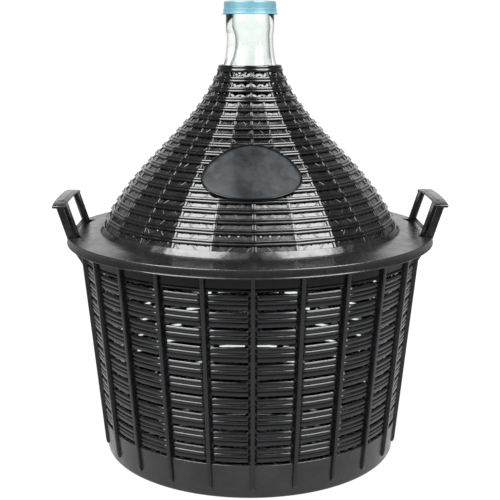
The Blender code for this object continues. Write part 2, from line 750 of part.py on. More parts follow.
def main():
    remove_old_objects()
    parts = new_collection("demijohn")
    make_basket_body(parts)
    make_basket_rim(parts)
    make_handles(parts)
    bottle = make_glass_bottle(parts)
    cap = make_neck_cap(parts)
    cone = make_cover_cone(parts)
    flange = make_cover_flange(parts)
    plate = make_cover_plate(parts)
    bottle_axis = parent_to_axis("bottle_axis", None, [bottle], parts)
    parent_to_axis("cap_axis", bottle_axis, [cap], parts)
    parent_to_axis("cover_axis", bottle_axis, [cone, flange, plate], parts)


main()
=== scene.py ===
from math import asin, cos, pi, radians, sin, sqrt, tan, tau

import bmesh
import bpy
import numpy as np
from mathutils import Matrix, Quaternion, Vector


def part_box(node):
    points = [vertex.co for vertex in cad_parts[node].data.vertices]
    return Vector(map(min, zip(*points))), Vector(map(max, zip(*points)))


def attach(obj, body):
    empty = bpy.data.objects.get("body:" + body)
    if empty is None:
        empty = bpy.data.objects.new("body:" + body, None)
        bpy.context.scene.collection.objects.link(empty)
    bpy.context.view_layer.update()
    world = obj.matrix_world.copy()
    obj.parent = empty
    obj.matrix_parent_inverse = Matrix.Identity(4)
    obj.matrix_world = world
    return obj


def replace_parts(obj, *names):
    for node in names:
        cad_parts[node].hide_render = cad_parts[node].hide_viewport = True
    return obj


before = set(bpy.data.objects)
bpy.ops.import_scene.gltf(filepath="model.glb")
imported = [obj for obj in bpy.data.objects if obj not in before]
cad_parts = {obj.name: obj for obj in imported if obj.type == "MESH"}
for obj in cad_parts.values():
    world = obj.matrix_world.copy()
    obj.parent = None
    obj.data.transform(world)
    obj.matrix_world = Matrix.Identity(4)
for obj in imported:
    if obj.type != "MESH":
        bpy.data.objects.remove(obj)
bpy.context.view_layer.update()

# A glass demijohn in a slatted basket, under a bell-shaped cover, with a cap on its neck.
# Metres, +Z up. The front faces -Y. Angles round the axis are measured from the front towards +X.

# Photograph's view
PHOTO_PIXELS = 500
FOCAL_PIXELS = 989
SENSOR_WIDTH = 36
CAMERA_DISTANCE = 1.132
CAMERA_HEIGHT = 0.478
CAMERA_PITCH = radians(12.31)
CAMERA_TURN = radians(0.86)

# Sizes read from the frame
CONE_LOW, CONE_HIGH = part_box("cover_cone")
FLANGE_LOW, FLANGE_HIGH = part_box("cover_flange")
RIM_LOW, RIM_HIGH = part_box("basket_rim")
GLASS_LOW, GLASS_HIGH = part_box("glass_bottle")
CAP_LOW, CAP_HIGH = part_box("neck_cap")
COVER_TOP = CONE_HIGH.z
COVER_FOOT = CONE_LOW.z
COVER_FOOT_RADIUS = CONE_HIGH.x
FLANGE_FOOT = FLANGE_LOW.z
FLANGE_CROWN = FLANGE_HIGH.z
RIM_RADIUS = FLANGE_HIGH.y
RIM_TOP = RIM_HIGH.z
SKIRT_FOOT = RIM_LOW.z
SKIRT_RADIUS = RIM_HIGH.y
GLASS_TOP = GLASS_HIGH.z
GLASS_FOOT = GLASS_LOW.z
CAP_TOP = CAP_HIGH.z
CAP_FOOT = CAP_LOW.z
CAP_LIP_RADIUS = CAP_HIGH.x

# Shared by several pieces
SEAT_GAP = 0.0003
AXIS_GAP = 0.0001
ROUND_STEPS = 256
SHARP_ANGLE = radians(38)
BEVEL_ANGLE = radians(40)
BLUNT_ANGLE = radians(50)

# Cover
COVER_WALL = 0.0030
COVER_TOP_RADIUS = 0.0354
COVER_FOOT_BAND = 0.0013
COVER_BAND_SWELL = 0.0006
BELL_TOP_OUT_SHARE = 0.146
BELL_TOP_DOWN_SHARE = 0.367
BELL_FOOT_IN_SHARE = 0.302
BELL_FOOT_UP_SHARE = 0.451
BELL_SAMPLES = 600
OPEN_ROWS = 19
OPEN_ROW_HEIGHT = 0.0053
TOP_TO_FIRST_ROW = 0.0099
LAST_ROW_TO_FOOT = 0.0085
POSTS = 24
COVER_TURN = radians(0.7)
WIDE_ROWS = 3
WIDE_RING_ROUND_SHARE = 0.8
WIDE_RING_STEPS = 10
RIDGE_DEPTH = 0.0015
RIDGE_STEPS = 14
RIDGE_FULLNESS = 0.6
TOP_RIDGE_HEIGHT = 0.0031
CORNER_REACH = 0.0009
POST_TOP_WIDTH = 0.0022
POST_FOOT_WIDTH = 0.0046
POST_INSET = 0.0014
POST_EDGE = 0.0007
POST_STEPS = 89
STRUT_PERIOD = 0.0095
STRUT_WIDTH = 0.0018
STRUT_CROWN = 0.0003
STRUT_STEPS = 6
STRUT_TOP_INSET = 0.0026
STRUT_FOOT_INSET = 0.0024
STRUT_WEB_ABOVE = 0.0024
STRUT_WEB_BELOW = 0.0035
WIDE_STRUT_WEB_ABOVE = 0.0006
WIDE_STRUT_WEB_BELOW = 0.0020
STRUT_DEPTH = 0.0009
STRUT_OVERRUN = 0.0006
SEAM_SPACING = 3
SEAM_WIDTH = 0.0014
SEAM_RISE = 0.0004

# Flange
FLANGE_THICKNESS = 0.0022
FLANGE_EDGE_RADIUS = 0.0009
NOTCH_DEPTH = 0.0150
NOTCH_HALF_WIDTH = 0.0565
NOTCH_EDGE = 0.0005
NOTCH_STEPS = 24

# Oval plate
PLATE_HALF_ANGLE = radians(25.5)
PLATE_TOP_LENGTH = 0.0999
PLATE_WIDEST_LENGTH = 0.1415
PLATE_FOOT_LENGTH = 0.1690
PLATE_RISE = 0.0018
PLATE_RINGS = 22
PLATE_STEPS = 96
PLATE_BEAD = 0.0010
PLATE_BEAD_SHARE = 0.985
PLATE_SEAM_RADIUS = PLATE_BEAD / 3
PLATE_SEAM_STEPS = 32
PLATE_SEAM_END_SHARE = 0.94
PLATE_SEAM_ASIDE_SHARE = 0.02
BEAD_CORNERS = 8
BEAD_LOOK_AHEAD = 0.01

# Basket
RIM_OVERHANG = 0.0125
WALL_LEAN = radians(5.36)
BASKET_WALL = 0.0035
FLOOR_THICKNESS = 0.0060
RIB_COUNT = 24
RIB_WIDTH = 0.0055
RIB_FRONT_WIDTH = 0.0043
RIB_FOOT_WIDTH = 0.0050
RIB_DEPTH = 0.0085
RIB_EDGE = 0.0010
RIB_EDGE_STEPS = 4
RIB_TIP = 0.0100
RIB_TIP_STEPS = 6
RIB_TIP_SINK_SHARE = 0.8
RIB_TIP_WIDTH_SHARE = 0.45
RIB_SPREAD_START_SHARE = 0.6
RIB_SPREAD_LENGTH_SHARE = 0.5
RIB_STEPS = 24
RIB_PROUD_OF_BAND = 0.0030
RIB_PROUD_OF_SLATS = 0.0040
GUSSET_HEIGHT = 0.0460
GUSSET_TOP_HEIGHT = 0.0110
GUSSET_INSET = 0.0010
GUSSET_OVERLAP = 0.0005
BAND_HEIGHT = 0.0388
BAND_EDGE_RADIUS = 0.0030
BAND_TOP_EDGE = 0.0002
BAND_STEPS = 8
SLAT_ROWS = 10
GAP_HEIGHT = 0.0045
ROW_GROWTH = 0.0009
STRAND_STEPS = 12
UPPER_STRAND_SHARE = 0.40
MIDDLE_STRAND_SHARE = 0.29
UPPER_STRAND_DEPTH = 0.0013
MIDDLE_STRAND_DEPTH = 0.0011
LOWER_STRAND_DEPTH = 0.0005
SLAT_BOW = 0.0015
SLAT_FLAT_SHARE = 0.85
SLAT_END_POWER = 3.5
SLAT_DIP = 0.0012
SLAT_DIP_LENGTH = 0.0022
TOP_STRIP_HEIGHT = 0.0203
STRIP_GROWTH = 0.0018
STRIP_BOW_SHARE = 0.7
STRIP_STRAND_HEIGHT = 0.0030
STRIP_BEAD_FOOT = 0.0003
STRIP_BEAD_MIDDLE = 0.0008
STRIP_BEAD_TOP = 0.0012
STRIP_BEAD_RISE = 0.0005
LEDGE_WIDTH = 0.0240
LEDGE_THICKNESS = 0.0030
LEDGE_DROP = 0.00005
SKIRT_WALL = 0.0030
SKIRT_EDGE_RADIUS = 0.0007
WEB_WIDTH = 0.0092
WEB_INSET = 0.0014
WEB_EDGE = 0.0006

# Places across a bay between two ribs, closer together beside the ribs
BAY_SHARES = (
    0.0, 0.045, 0.06, 0.08, 0.105, 0.14, 0.19, 0.26, 0.36, 0.50,
    0.64, 0.74, 0.81, 0.86, 0.895, 0.92, 0.94, 0.955,
)

# Handles
HANDLE_WIDTH = 0.1100
HANDLE_HEIGHT = 0.0426
HANDLE_DEPTH = 0.0111
HANDLE_LEAN = radians(17.5)
HANDLE_EDGE = 0.0008
WINDOW_EDGE_DEPTH = 0.0056
LEG_WIDTH = 0.0200
LEG_WALL = 0.0030
LEG_CHAMFER_DEPTH = 0.0027
LEG_CHAMFER_WIDTH = 0.0060
POCKET_DEPTH = 0.0040
CROSSBAR_HEIGHT = 0.0081
CROSSBAR_THICKNESS = 0.0030
CROSSBAR_SETBACK = 0.0030
GRIP_THICKNESS = 0.0035
GRIP_RISE = 0.0040
GRIP_ARCH_SHARE = 0.5
GRIP_OVERHANG = 0.0015
GRIP_DEPTH = 0.0147
GRIP_EDGE = 0.0015
GRIP_STEPS = 32
PAD_REACH_SHARE = 0.72
PAD_RISE = 0.0005
PAD_INSET = 0.0030

# Bottle
GLASS_GAP = 0.0028
GLASS_WALL = 0.0045
BOTTLE_STEPS = 160
BOTTLE_SHARP_ANGLE = radians(60)
NECK_WALL = 0.0050
NECK_RADIUS = 0.0271
NECK_EDGE_HEIGHT = 0.0025
NECK_FINISH_HEIGHT = 0.0402
LIP_INSET = 0.0015
BORE_MIDDLE = 0.0210
BORE_REACH = 0.0340
BORE_SHIFT = 0.0021
BORE_NARROWING = 0.0021
SHOULDER_CLEARANCE = 0.0080
SHOULDER_STEPS = 30
SHOULDER_REACH = 0.0230
BASKET_INSIDE_DEPTH = 0.0095
BODY_TOP_DROP = 0.0416
BODY_TOP_GAP = 0.0089
BODY_FOOT_RISE = 0.0277
BODY_FOOT_GAP = 0.0043
BODY_STEPS = 8
PUNT_CROWN_REACH = 0.0300
PUNT_HEIGHT = 0.0120

# Corners and control points of the bottle's profile, as steps outwards and up from a place on it
LIP_OUTSIDE = ((0.0007, -0.0006), (-0.0008, 0))
LIP_INSIDE = ((0.0022, 0), (0.0012, -0.0003), (0, -0.0015))
NECK_WAIST = ((0, 0.0372), (-0.0011, 0.0350), (-0.0011, 0.0300))
NECK_FOOT = ((-0.0011, 0.0200), (0, 0.0052))
FOOT_CORNER = ((0, 0.0120), (-0.0100, 0), (-0.0250, 0))
STANDING_RING = ((-0.0200, 0), (-0.0300, 0.0040), (-0.0380, 0.0045))
PUNT_SLOPE = ((-0.0700, 0.0090),)

# Cap
CAP_EDGE_RADIUS = 0.0021
CAP_SAG = 0.0002
CAP_SAG_SHARE = 0.6
CAP_TAPER = 0.0001
CAP_STEP_HEIGHT = 0.0087
CAP_STEP_WIDTH = 0.0006
CAP_FILLET_HEIGHT = 0.0012
CAP_LIP_WIDTH = 0.0023
CAP_LIP_THICKNESS = 0.0009
CAP_LIP_EDGE = 0.0003

# Surfaces: heights of waves and grain in metres, scales of noise in spots to the metre
WAVE_HEIGHT = 0.0006
WAVE_SCALE = 60
GRAIN_HEIGHT = 0.0001
GRAIN_SCALE = 1400
CLOUD_SCALE = 28
GLOSS_SCALE = 95
GLASS_WAVE_HEIGHT = 0.0008
# Painted shade in the glass: how far its colour darkens at a slant and round the neck's bore
GLASS_EDGE_SHADE_SHARES = (0.55, 0.85)
BORE_PAINTED_SHADE = 0.25
BORE_SHADE_INSET = 0.0040
BORE_SHADE_END_INSET = 0.0025

# Studio
WORLD_LIGHT = 0.55
SIDE_REFLECTION = 0.36
BEHIND_SHARES = (0.80, 0.97)
FLOOR_REACH = 12
FLOOR_GAP = 0.0002
FLOOR_GREY = 0.30
FLOOR_WHITE = 0.86
FAR_FLOOR_REFLECTION = 0.25
NEAR_FLOOR = 0.55
FAR_FLOOR = 1.20
AIM_HEIGHT = 0.25
KEY_AZIMUTH = radians(45)
KEY_ELEVATION = radians(40)
KEY_DISTANCE = 2.0
KEY_SIZE = (1.5, 2.1)
KEY_RADIANCE = 1.9
SHEEN_AZIMUTH = radians(50)
SHEEN_ELEVATION = radians(40)
SHEEN_ROLL = radians(19)
SHEEN_DISTANCE = 2.3
HIGH_SHEEN_SIZE = (1.44, 1.56)
HIGH_SHEEN_RISE = 0.55
HIGH_SHEEN_RADIANCE = 22.0
LOW_SHEEN_SIZE = (1.44, 1.10)
LOW_SHEEN_RISE = -0.78
LOW_SHEEN_RADIANCE = 5.0
BACK_AZIMUTH = radians(150)
BACK_ELEVATION = radians(22)
BACK_DISTANCE = 2.4
BACK_SIZE = (1.4, 0.9)
BACK_RADIANCE = 0.45


def around(radius, angle, height):
    """A place from its radius, its angle from the front and its height."""
    return (radius * sin(angle), -radius * cos(angle), height)


def beside(radius, angle, height, aside):
    """The same place, moved sideways at a right angle to its radius."""
    return Vector(around(radius, angle, height)) + Vector((cos(angle), sin(angle), 0)) * aside


class Shape:
    """Points and faces of a piece, gathered part by part."""

    def __init__(self):
        self.points = []
        self.faces = []

    def loft(self, sections, closed):
        """Join closed sections of equal length, in a ring or with an end face at both ends."""
        first = len(self.points)
        size = len(sections[0])
        for section in sections:
            self.points.extend(tuple(point) for point in section)
        count = len(sections)
        for index in range(count if closed else count - 1):
            here = first + index * size
            there = first + (index + 1) % count * size
            for corner in range(size):
                after = (corner + 1) % size
                self.faces.append((here + corner, here + after, there + after, there + corner))
        if not closed:
            self.faces.append(tuple(range(first, first + size)))
            self.faces.append(tuple(range(first + (count - 1) * size, first + count * size)))

    def mesh(self, name):
        """A mesh of the points and faces, with its faces pointing out."""
        mesh = bpy.data.meshes.new(name)
        mesh.from_pydata(self.points, [], self.faces)
        face_out(mesh)
        return mesh

    def piece(self, name, body, slot, material, sharp=SHARP_ANGLE):
        """Make the piece and let it ride on a body."""
        return finish_piece(name, self.mesh(name), body, material, sharp)


def face_out(mesh):
    """Turn a mesh's faces so that they point out."""
    work = bmesh.new()
    work.from_mesh(mesh)
    bmesh.ops.recalc_face_normals(work, faces=work.faces)
    work.to_mesh(mesh)
    work.free()


def new_object(name, data):
    """An object in the scene, from a mesh, a lamp's data or a camera's."""
    made = bpy.data.objects.new(name, data)
    bpy.context.scene.collection.objects.link(made)
    return made


def finish_piece(name, mesh, body, material, sharp=SHARP_ANGLE):
    """Shade a mesh and make it a piece on a body."""
    mesh.shade_smooth()
    mesh.set_sharp_from_angle(angle=sharp)
    mesh.materials.clear()
    mesh.materials.append(material)
    piece = new_object(name, mesh)
    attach(piece, body)
    return piece


def worked_mesh(mesh, width, segments, angle=BEVEL_ANGLE, cutters=()):
    """A mesh with others cut out of it and its edges rounded."""
    blanks = [new_object(source.name, source) for source in (mesh, *cutters)]
    base, *tools = blanks
    for tool in tools:
        cut = base.modifiers.new("notch", "BOOLEAN")
        cut.operation = "DIFFERENCE"
        cut.solver = "EXACT"
        cut.object = tool
    bevel = base.modifiers.new("edges", "BEVEL")
    bevel.width = width
    bevel.segments = segments
    bevel.limit_method = "ANGLE"
    bevel.angle_limit = angle
    result = bpy.data.meshes.new_from_object(base.evaluated_get(bpy.context.evaluated_depsgraph_get()))
    for blank in blanks:
        bpy.data.objects.remove(blank, do_unlink=True)
    return result


def joined_mesh(name, meshes):
    """One mesh from several."""
    work = bmesh.new()
    for mesh in meshes:
        work.from_mesh(mesh)
    result = bpy.data.meshes.new(name)
    work.to_mesh(result)
    work.free()
    return result


def turned_sections(outline, steps=ROUND_STEPS):
    """A closed outline of radius and height at even steps round the axis."""
    return [[around(radius, angle, height) for radius, height in outline]
            for angle in even_steps(0, tau, steps)[:-1]]


def turned_piece(name, outline, body, slot, material):
    """A piece with a closed outline that is turned round the axis."""
    shape = Shape()
    shape.loft(turned_sections(outline), True)
    return shape.piece(name, body, slot, material)


def even_steps(start, end, steps):
    """Even steps from one value to another, with both of them."""
    return [start + (end - start) * index / steps for index in range(steps + 1)]


def arc(centre, radius, start, end, steps):
    """Points on an arc in the half plane of radius and height."""
    return [(centre[0] + radius * cos(angle), centre[1] + radius * sin(angle))
            for angle in even_steps(start, end, steps)]


def bezier(start, start_reach, end_reach, end, steps):
    """Points on a cubic curve, without its first one."""
    points = []
    for share in even_steps(0, 1, steps)[1:]:
        rest = 1 - share
        points.append(tuple(
            rest ** 3 * a + 3 * rest ** 2 * share * b + 3 * rest * share ** 2 * c + share ** 3 * d
            for a, b, c, d in zip(start, start_reach, end_reach, end)))
    return points


def mirrored_outline(half):
    """An outline of depth and place aside, followed back on its other side."""
    return half + [(depth, -aside) for depth, aside in reversed(half)]


def smooth_step(share):
    """Ease from 0 to 1."""
    share = min(max(share, 0), 1)
    return share * share * (3 - 2 * share)


# Profile of the bell

def bell_samples():
    """Outer profile from the top to the foot, as radius and height."""
    top = np.array((COVER_TOP_RADIUS, COVER_TOP))
    foot = np.array((COVER_FOOT_RADIUS, COVER_FOOT + COVER_FOOT_BAND))
    width, fall = foot - top
    top_reach = top + (width * BELL_TOP_OUT_SHARE, fall * BELL_TOP_DOWN_SHARE)
    foot_reach = foot - (width * BELL_FOOT_IN_SHARE, fall * BELL_FOOT_UP_SHARE)
    share = np.linspace(0, 1, BELL_SAMPLES)[:, None]
    rest = 1 - share
    return (rest ** 3 * top + 3 * rest ** 2 * share * top_reach
            + 3 * rest * share ** 2 * foot_reach + share ** 3 * foot)


BELL = bell_samples()
BELL_STEPS = np.linalg.norm(np.diff(BELL, axis=0), axis=1)
BELL_LENGTHS = np.concatenate(([0], np.cumsum(BELL_STEPS)))
BELL_LENGTH = float(BELL_LENGTHS[-1])
BELL_ALONG = np.gradient(BELL, axis=0)
BELL_ALONG /= np.linalg.norm(BELL_ALONG, axis=1)[:, None]
ROW_PITCH = (BELL_LENGTH - TOP_TO_FIRST_ROW - LAST_ROW_TO_FOOT) / (OPEN_ROWS - 1)


def on_bell(length, offset=0):
    """Radius and height at a length down the bell, moved out along its normal."""
    radius = np.interp(length, BELL_LENGTHS, BELL[:, 0])
    height = np.interp(length, BELL_LENGTHS, BELL[:, 1])
    along_radius = np.interp(length, BELL_LENGTHS, BELL_ALONG[:, 0])
    along_height = np.interp(length, BELL_LENGTHS, BELL_ALONG[:, 1])
    return float(radius - along_height * offset), float(height + along_radius * offset)


def post_width(length):
    """Width of a post at a length down the bell."""
    return POST_TOP_WIDTH + (POST_FOOT_WIDTH - POST_TOP_WIDTH) * length / BELL_LENGTH


def row_middle(row):
    """Length down the bell of an open row's middle."""
    return TOP_TO_FIRST_ROW + row * ROW_PITCH


# Materials

def new_material(name):
    """A material with a Principled BSDF, and its tree."""
    material = bpy.data.materials.new(name)
    material.use_nodes = True
    return material, material.node_tree, material.node_tree.nodes["Principled BSDF"]


def add_node(tree, kind, **settings):
    """A shader node with its settings."""
    node = tree.nodes.new("ShaderNode" + kind)
    for setting, value in settings.items():
        setattr(node, setting, value)
    return node


def set_inputs(node, values):
    """Set constants straight on a node's inputs."""
    for name, value in values.items():
        node.inputs[name].default_value = value


def link(tree, source, target):
    """Feed an input from another node's output, or from a plain number."""
    if isinstance(source, float):
        target.default_value = source
    else:
        tree.links.new(source, target)


def combine(tree, operation, first, second):
    """Two values brought together by a Math node."""
    node = add_node(tree, "Math", operation=operation)
    link(tree, first, node.inputs[0])
    link(tree, second, node.inputs[1])
    return node.outputs[0]


def distance(tree, scale=(1, 1, 1)):
    """Distance from the object's origin, with each axis scaled."""
    place = add_node(tree, "TexCoord")
    scaled = add_node(tree, "VectorMath", operation="MULTIPLY")
    set_inputs(scaled, {1: scale})
    link(tree, place.outputs["Object"], scaled.inputs[0])
    away = add_node(tree, "VectorMath", operation="LENGTH")
    link(tree, scaled.outputs["Vector"], away.inputs[0])
    return away.outputs["Value"]


def noise(tree, scale, detail=4, roughness=0.55):
    """A noise texture in the object's own metres."""
    place = add_node(tree, "TexCoord")
    texture = add_node(tree, "TexNoise")
    set_inputs(texture, {"Scale": scale, "Detail": detail, "Roughness": roughness})
    link(tree, place.outputs["Object"], texture.inputs["Vector"])
    return texture.outputs["Fac"]


def ramp(tree, value, low, high, from_low=0.35, from_high=0.65):
    """A value's range, or two colours, spread over part of a texture's range."""
    if isinstance(low, tuple):
        colours = add_node(tree, "ValToRGB")
        first, last = colours.color_ramp.elements
        first.position = from_low
        last.position = from_high
        first.color = (*low, 1)
        last.color = (*high, 1)
        link(tree, value, colours.inputs["Fac"])
        return colours.outputs["Color"]
    spread = add_node(tree, "MapRange")
    set_inputs(spread, {"From Min": from_low, "From Max": from_high, "To Min": low, "To Max": high})
    link(tree, value, spread.inputs["Value"])
    return spread.outputs["Result"]


def add_bump(tree, shader, value, strength, depth):
    """Raise or sink the surface with a texture, after any bump that is there."""
    bump = add_node(tree, "Bump")
    set_inputs(bump, {"Strength": strength, "Distance": depth})
    link(tree, value, bump.inputs["Height"])
    before = shader.inputs["Normal"].links
    if before:
        link(tree, before[0].from_socket, bump.inputs["Normal"])
    link(tree, bump.outputs["Normal"], shader.inputs["Normal"])


def black_plastic(name, dark, pale, smooth, rough, grain=0.10, waves=0.25, specular=0.5,
                  cloud_scale=CLOUD_SCALE, cloud_spread=0.15):
    """Moulded black plastic: faint clouds of colour and gloss, a fine grain and slight waves."""
    material, tree, shader = new_material(name)
    clouds = noise(tree, cloud_scale, 8, 0.62)
    colour = ramp(tree, clouds, dark, pale, 0.5 - cloud_spread, 0.5 + cloud_spread)
    link(tree, colour, shader.inputs["Base Color"])
    link(tree, ramp(tree, noise(tree, GLOSS_SCALE, 5), smooth, rough), shader.inputs["Roughness"])
    add_bump(tree, shader, noise(tree, WAVE_SCALE, 2), waves, WAVE_HEIGHT)
    add_bump(tree, shader, noise(tree, GRAIN_SCALE, 3), grain, GRAIN_HEIGHT)
    set_inputs(shader, {"IOR": 1.4, "Specular IOR Level": specular})
    return material


def clear_glass(name):
    """Thick, pale green glass with slight waves, with painted shade: dark lines painted into its colour
    where it is seen at a slant and round the bore.
    """
    material, tree, shader = new_material(name)
    body = ramp(tree, noise(tree, 9, 2), (0.925, 0.97, 0.945), (0.945, 0.98, 0.96))
    # Painted shade: the colour darkens towards grazing angles and towards the bore's radius, drawing the
    # glass's dark edge lines
    grazing = add_node(tree, "LayerWeight")
    set_inputs(grazing, {"Blend": 0.5})
    away = distance(tree, (1, 1, 0))
    bore = ramp(tree, away, BORE_PAINTED_SHADE, 0.0, NECK_RADIUS - BORE_SHADE_INSET, NECK_RADIUS - BORE_SHADE_END_INSET)
    slant = combine(tree, "ADD", grazing.outputs["Facing"], bore)
    edge_shaded = add_node(tree, "Mix", data_type="RGBA")
    link(tree, ramp(tree, slant, 0.0, 1.0, *GLASS_EDGE_SHADE_SHARES), edge_shaded.inputs["Factor"])
    link(tree, body, edge_shaded.inputs[6])
    # Dark painted shade colour of those edge lines
    set_inputs(edge_shaded, {7: (0.03, 0.05, 0.045, 1)})
    link(tree, edge_shaded.outputs[2], shader.inputs["Base Color"])
    link(tree, ramp(tree, noise(tree, 40, 4), 0.0, 0.04), shader.inputs["Roughness"])
    add_bump(tree, shader, noise(tree, 26, 2), 0.15, GLASS_WAVE_HEIGHT)
    set_inputs(shader, {"IOR": 1.5, "Transmission Weight": 1})
    return material


def soft_plastic(name):
    """Light blue cap plastic with faint clouds and a fine grain."""
    material, tree, shader = new_material(name)
    clouds = noise(tree, 120, 4)
    link(tree, ramp(tree, clouds, (0.18, 0.49, 0.61), (0.23, 0.55, 0.67)), shader.inputs["Base Color"])
    link(tree, ramp(tree, noise(tree, 300, 4), 0.30, 0.46), shader.inputs["Roughness"])
    add_bump(tree, shader, noise(tree, 900, 3), 0.08, GRAIN_HEIGHT)
    set_inputs(shader, {"IOR": 1.5})
    return material


COVER_BLACK = black_plastic("cover_black", (0.004, 0.004, 0.005), (0.008, 0.008, 0.0095), 0.10, 0.22)
SOFT_BLACK = black_plastic(
    "soft_black", (0.006, 0.006, 0.007), (0.012, 0.012, 0.0135), 0.14, 0.30, grain=0.20, waves=0.8)
LATTICE_BLACK = black_plastic(
    "lattice_black", (0.004, 0.004, 0.005), (0.008, 0.008, 0.0095), 0.10, 0.24, grain=0.20, waves=0.6)
PLATE_BLACK = black_plastic(
    "plate_black", (0.005, 0.007, 0.009), (0.038, 0.046, 0.050), 0.34, 0.52,
    specular=0.14, cloud_scale=46, cloud_spread=0.09)
FLANGE_BLACK = black_plastic(
    "flange_black", (0.009, 0.009, 0.010), (0.016, 0.016, 0.017), 0.22, 0.30, specular=0.8)
BASKET_BLACK = black_plastic("basket_black", (0.006, 0.006, 0.0075), (0.012, 0.012, 0.0145), 0.12, 0.24)
# Painted shade: a darker, less glossy copy of the basket's plastic, for the strip in the shade under the rim
SHADED_STRIP_BLACK = black_plastic(
    "strip_black_painted_shade", (0.004, 0.004, 0.005), (0.009, 0.009, 0.011), 0.20, 0.34, specular=0.25)
# Painted light: the bottom band gets a lighter copy of the basket's black plastic
LIT_BAND_BLACK = black_plastic("band_black_painted_light", (0.022, 0.022, 0.024), (0.042, 0.042, 0.045), 0.20, 0.34)
RIB_BLACK = black_plastic("rib_black", (0.008, 0.008, 0.0095), (0.014, 0.014, 0.0165), 0.20, 0.32)
HANDLE_BLACK = black_plastic(
    "handle_black", (0.005, 0.005, 0.006), (0.014, 0.014, 0.015), 0.14, 0.30, grain=0.25, waves=0.7)
GLASS = clear_glass("bottle_green_glass")
CAP_BLUE = soft_plastic("cap_light_blue")


# Cover

def ridge_outline(start, end):
    """Rounded ridge between two lengths, as length and offset."""
    middle = (start + end) / 2
    reach = (end - start) / 2
    points = []
    for angle in even_steps(0, pi, RIDGE_STEPS):
        crown = max(sin(angle), 0) ** RIDGE_FULLNESS
        points.append((middle - reach * cos(angle), RIDGE_DEPTH * (crown - 1)))
    return points


def ring_outline(edges):
    """Section of a ring with a ridge between each pair of edges, as length and offset."""
    outline = []
    for start, end in zip(edges, edges[1:]):
        ridge = ridge_outline(start, end)
        outline += ridge if not outline else ridge[1:]
    outline += [(edges[-1], -COVER_WALL), (edges[0], -COVER_WALL)]
    return outline


def post_angle(post, posts=POSTS):
    """Angle at which one of the posts stands."""
    return COVER_TURN + tau * post / posts


def on_chord(radius, height, start, end, share):
    """A place on the straight run between two angles."""
    return Vector(around(radius, start, height)).lerp(Vector(around(radius, end, height)), share)


def ring_sections(outline, corners, round_share=0):
    """Sections of a ring of straight runs, or of runs part of the way to round."""
    profile = [on_bell(length, offset) for length, offset in outline]
    reach = CORNER_REACH / (2 * on_bell(outline[0][0])[0] * sin(pi / corners))
    inner = even_steps(0, 1, WIDE_RING_STEPS if round_share else 1)[1:-1]
    sections = []
    for corner in range(corners):
        start = post_angle(corner, corners)
        end = post_angle(corner + 1, corners)
        for share in (0, reach, *inner, 1 - reach):
            section = []
            for radius, height in profile:
                turned = Vector(around(radius, start + (end - start) * share, height))
                section.append(on_chord(radius, height, start, end, share).lerp(turned, round_share))
            sections.append(section)
    return sections


def pair_edges(pair):
    """Edges of the two ridges between an open row and the next."""
    start = row_middle(pair) + OPEN_ROW_HEIGHT / 2
    end = row_middle(pair + 1) - OPEN_ROW_HEIGHT / 2
    return [start, (start + end) / 2, end]


def corners_of(row):
    """Posts that cross an open row."""
    return POSTS // 2 if row < WIDE_ROWS else POSTS


def make_cover_rings():
    """Double ring at the top and the ring pairs."""
    shape = Shape()
    first_row = row_middle(0) - OPEN_ROW_HEIGHT / 2
    top_outline = ring_outline([0, TOP_RIDGE_HEIGHT, first_row])
    shape.loft(turned_sections([on_bell(*point) for point in top_outline], ROUND_STEPS // 2), True)
    for pair in range(OPEN_ROWS - 1):
        round_share = WIDE_RING_ROUND_SHARE if pair < WIDE_ROWS else 0
        shape.loft(ring_sections(ring_outline(pair_edges(pair)), corners_of(pair), round_share), True)
    return shape.piece("cover_rings", "cover", "black_plastic", COVER_BLACK)


def make_cover_band():
    """Plain band at the cover's foot."""
    band = row_middle(OPEN_ROWS - 1) + OPEN_ROW_HEIGHT / 2
    foot = COVER_FOOT - SEAT_GAP
    profile = [
        on_bell(band, -COVER_WALL), on_bell(band, -RIDGE_DEPTH),
        on_bell(band + RIDGE_DEPTH / 4, -RIDGE_DEPTH / 2), on_bell(band + RIDGE_DEPTH, -RIDGE_DEPTH / 4),
        (COVER_FOOT_RADIUS + COVER_BAND_SWELL, foot), (COVER_FOOT_RADIUS - COVER_WALL, foot),
    ]
    return turned_piece("cover_band", profile, "cover", "black_plastic", SOFT_BLACK)


def bell_section(outline, angle):
    """A section across the bell from places aside, lengths and offsets."""
    section = []
    for aside, length, offset in outline:
        radius, height = on_bell(length, offset)
        section.append(beside(radius, angle, height, aside))
    return section


def make_cover_posts():
    """Upright posts behind the rings; every other one starts below the wide rows."""
    shape = Shape()
    for post in range(POSTS):
        start = TOP_RIDGE_HEIGHT if post % 2 == 0 else row_middle(WIDE_ROWS) - ROW_PITCH / 2
        sections = []
        for length in even_steps(start, BELL_LENGTH, POST_STEPS):
            half = post_width(length) / 2
            corner = [
                (-half, -COVER_WALL), (-half, -POST_INSET - POST_EDGE),
                (-half + POST_EDGE / 3, -POST_INSET - POST_EDGE / 3), (-half + POST_EDGE, -POST_INSET),
            ]
            outline = corner + [(-aside, offset) for aside, offset in reversed(corner)]
            places = [(aside, length, offset) for aside, offset in outline]
            sections.append(bell_section(places, post_angle(post)))
        shape.loft(sections, False)
    return shape.piece("cover_posts", "cover", "black_plastic", COVER_BLACK)


def add_strut(shape, start, end, normal, above, below, crown):
    """A slanted round bar on a flat web that reaches further below it than above it."""
    if start.z > end.z:
        start, end = end, start
    along = (end - start).normalized()
    side = along.cross(normal).normalized()
    if side.z > 0:
        side = -side
    half = STRUT_WIDTH / 2
    outline = [(-above, -STRUT_DEPTH), (-above, 0)]
    for turn in even_steps(0, pi, STRUT_STEPS):
        outline.append((-half * cos(turn), crown * sin(turn)))
    outline += [(below, 0), (below, -STRUT_DEPTH)]
    sections = []
    for middle in (start - along * STRUT_OVERRUN, end + along * STRUT_OVERRUN):
        sections.append([middle + side * aside + normal * out for aside, out in outline])
    shape.loft(sections, False)


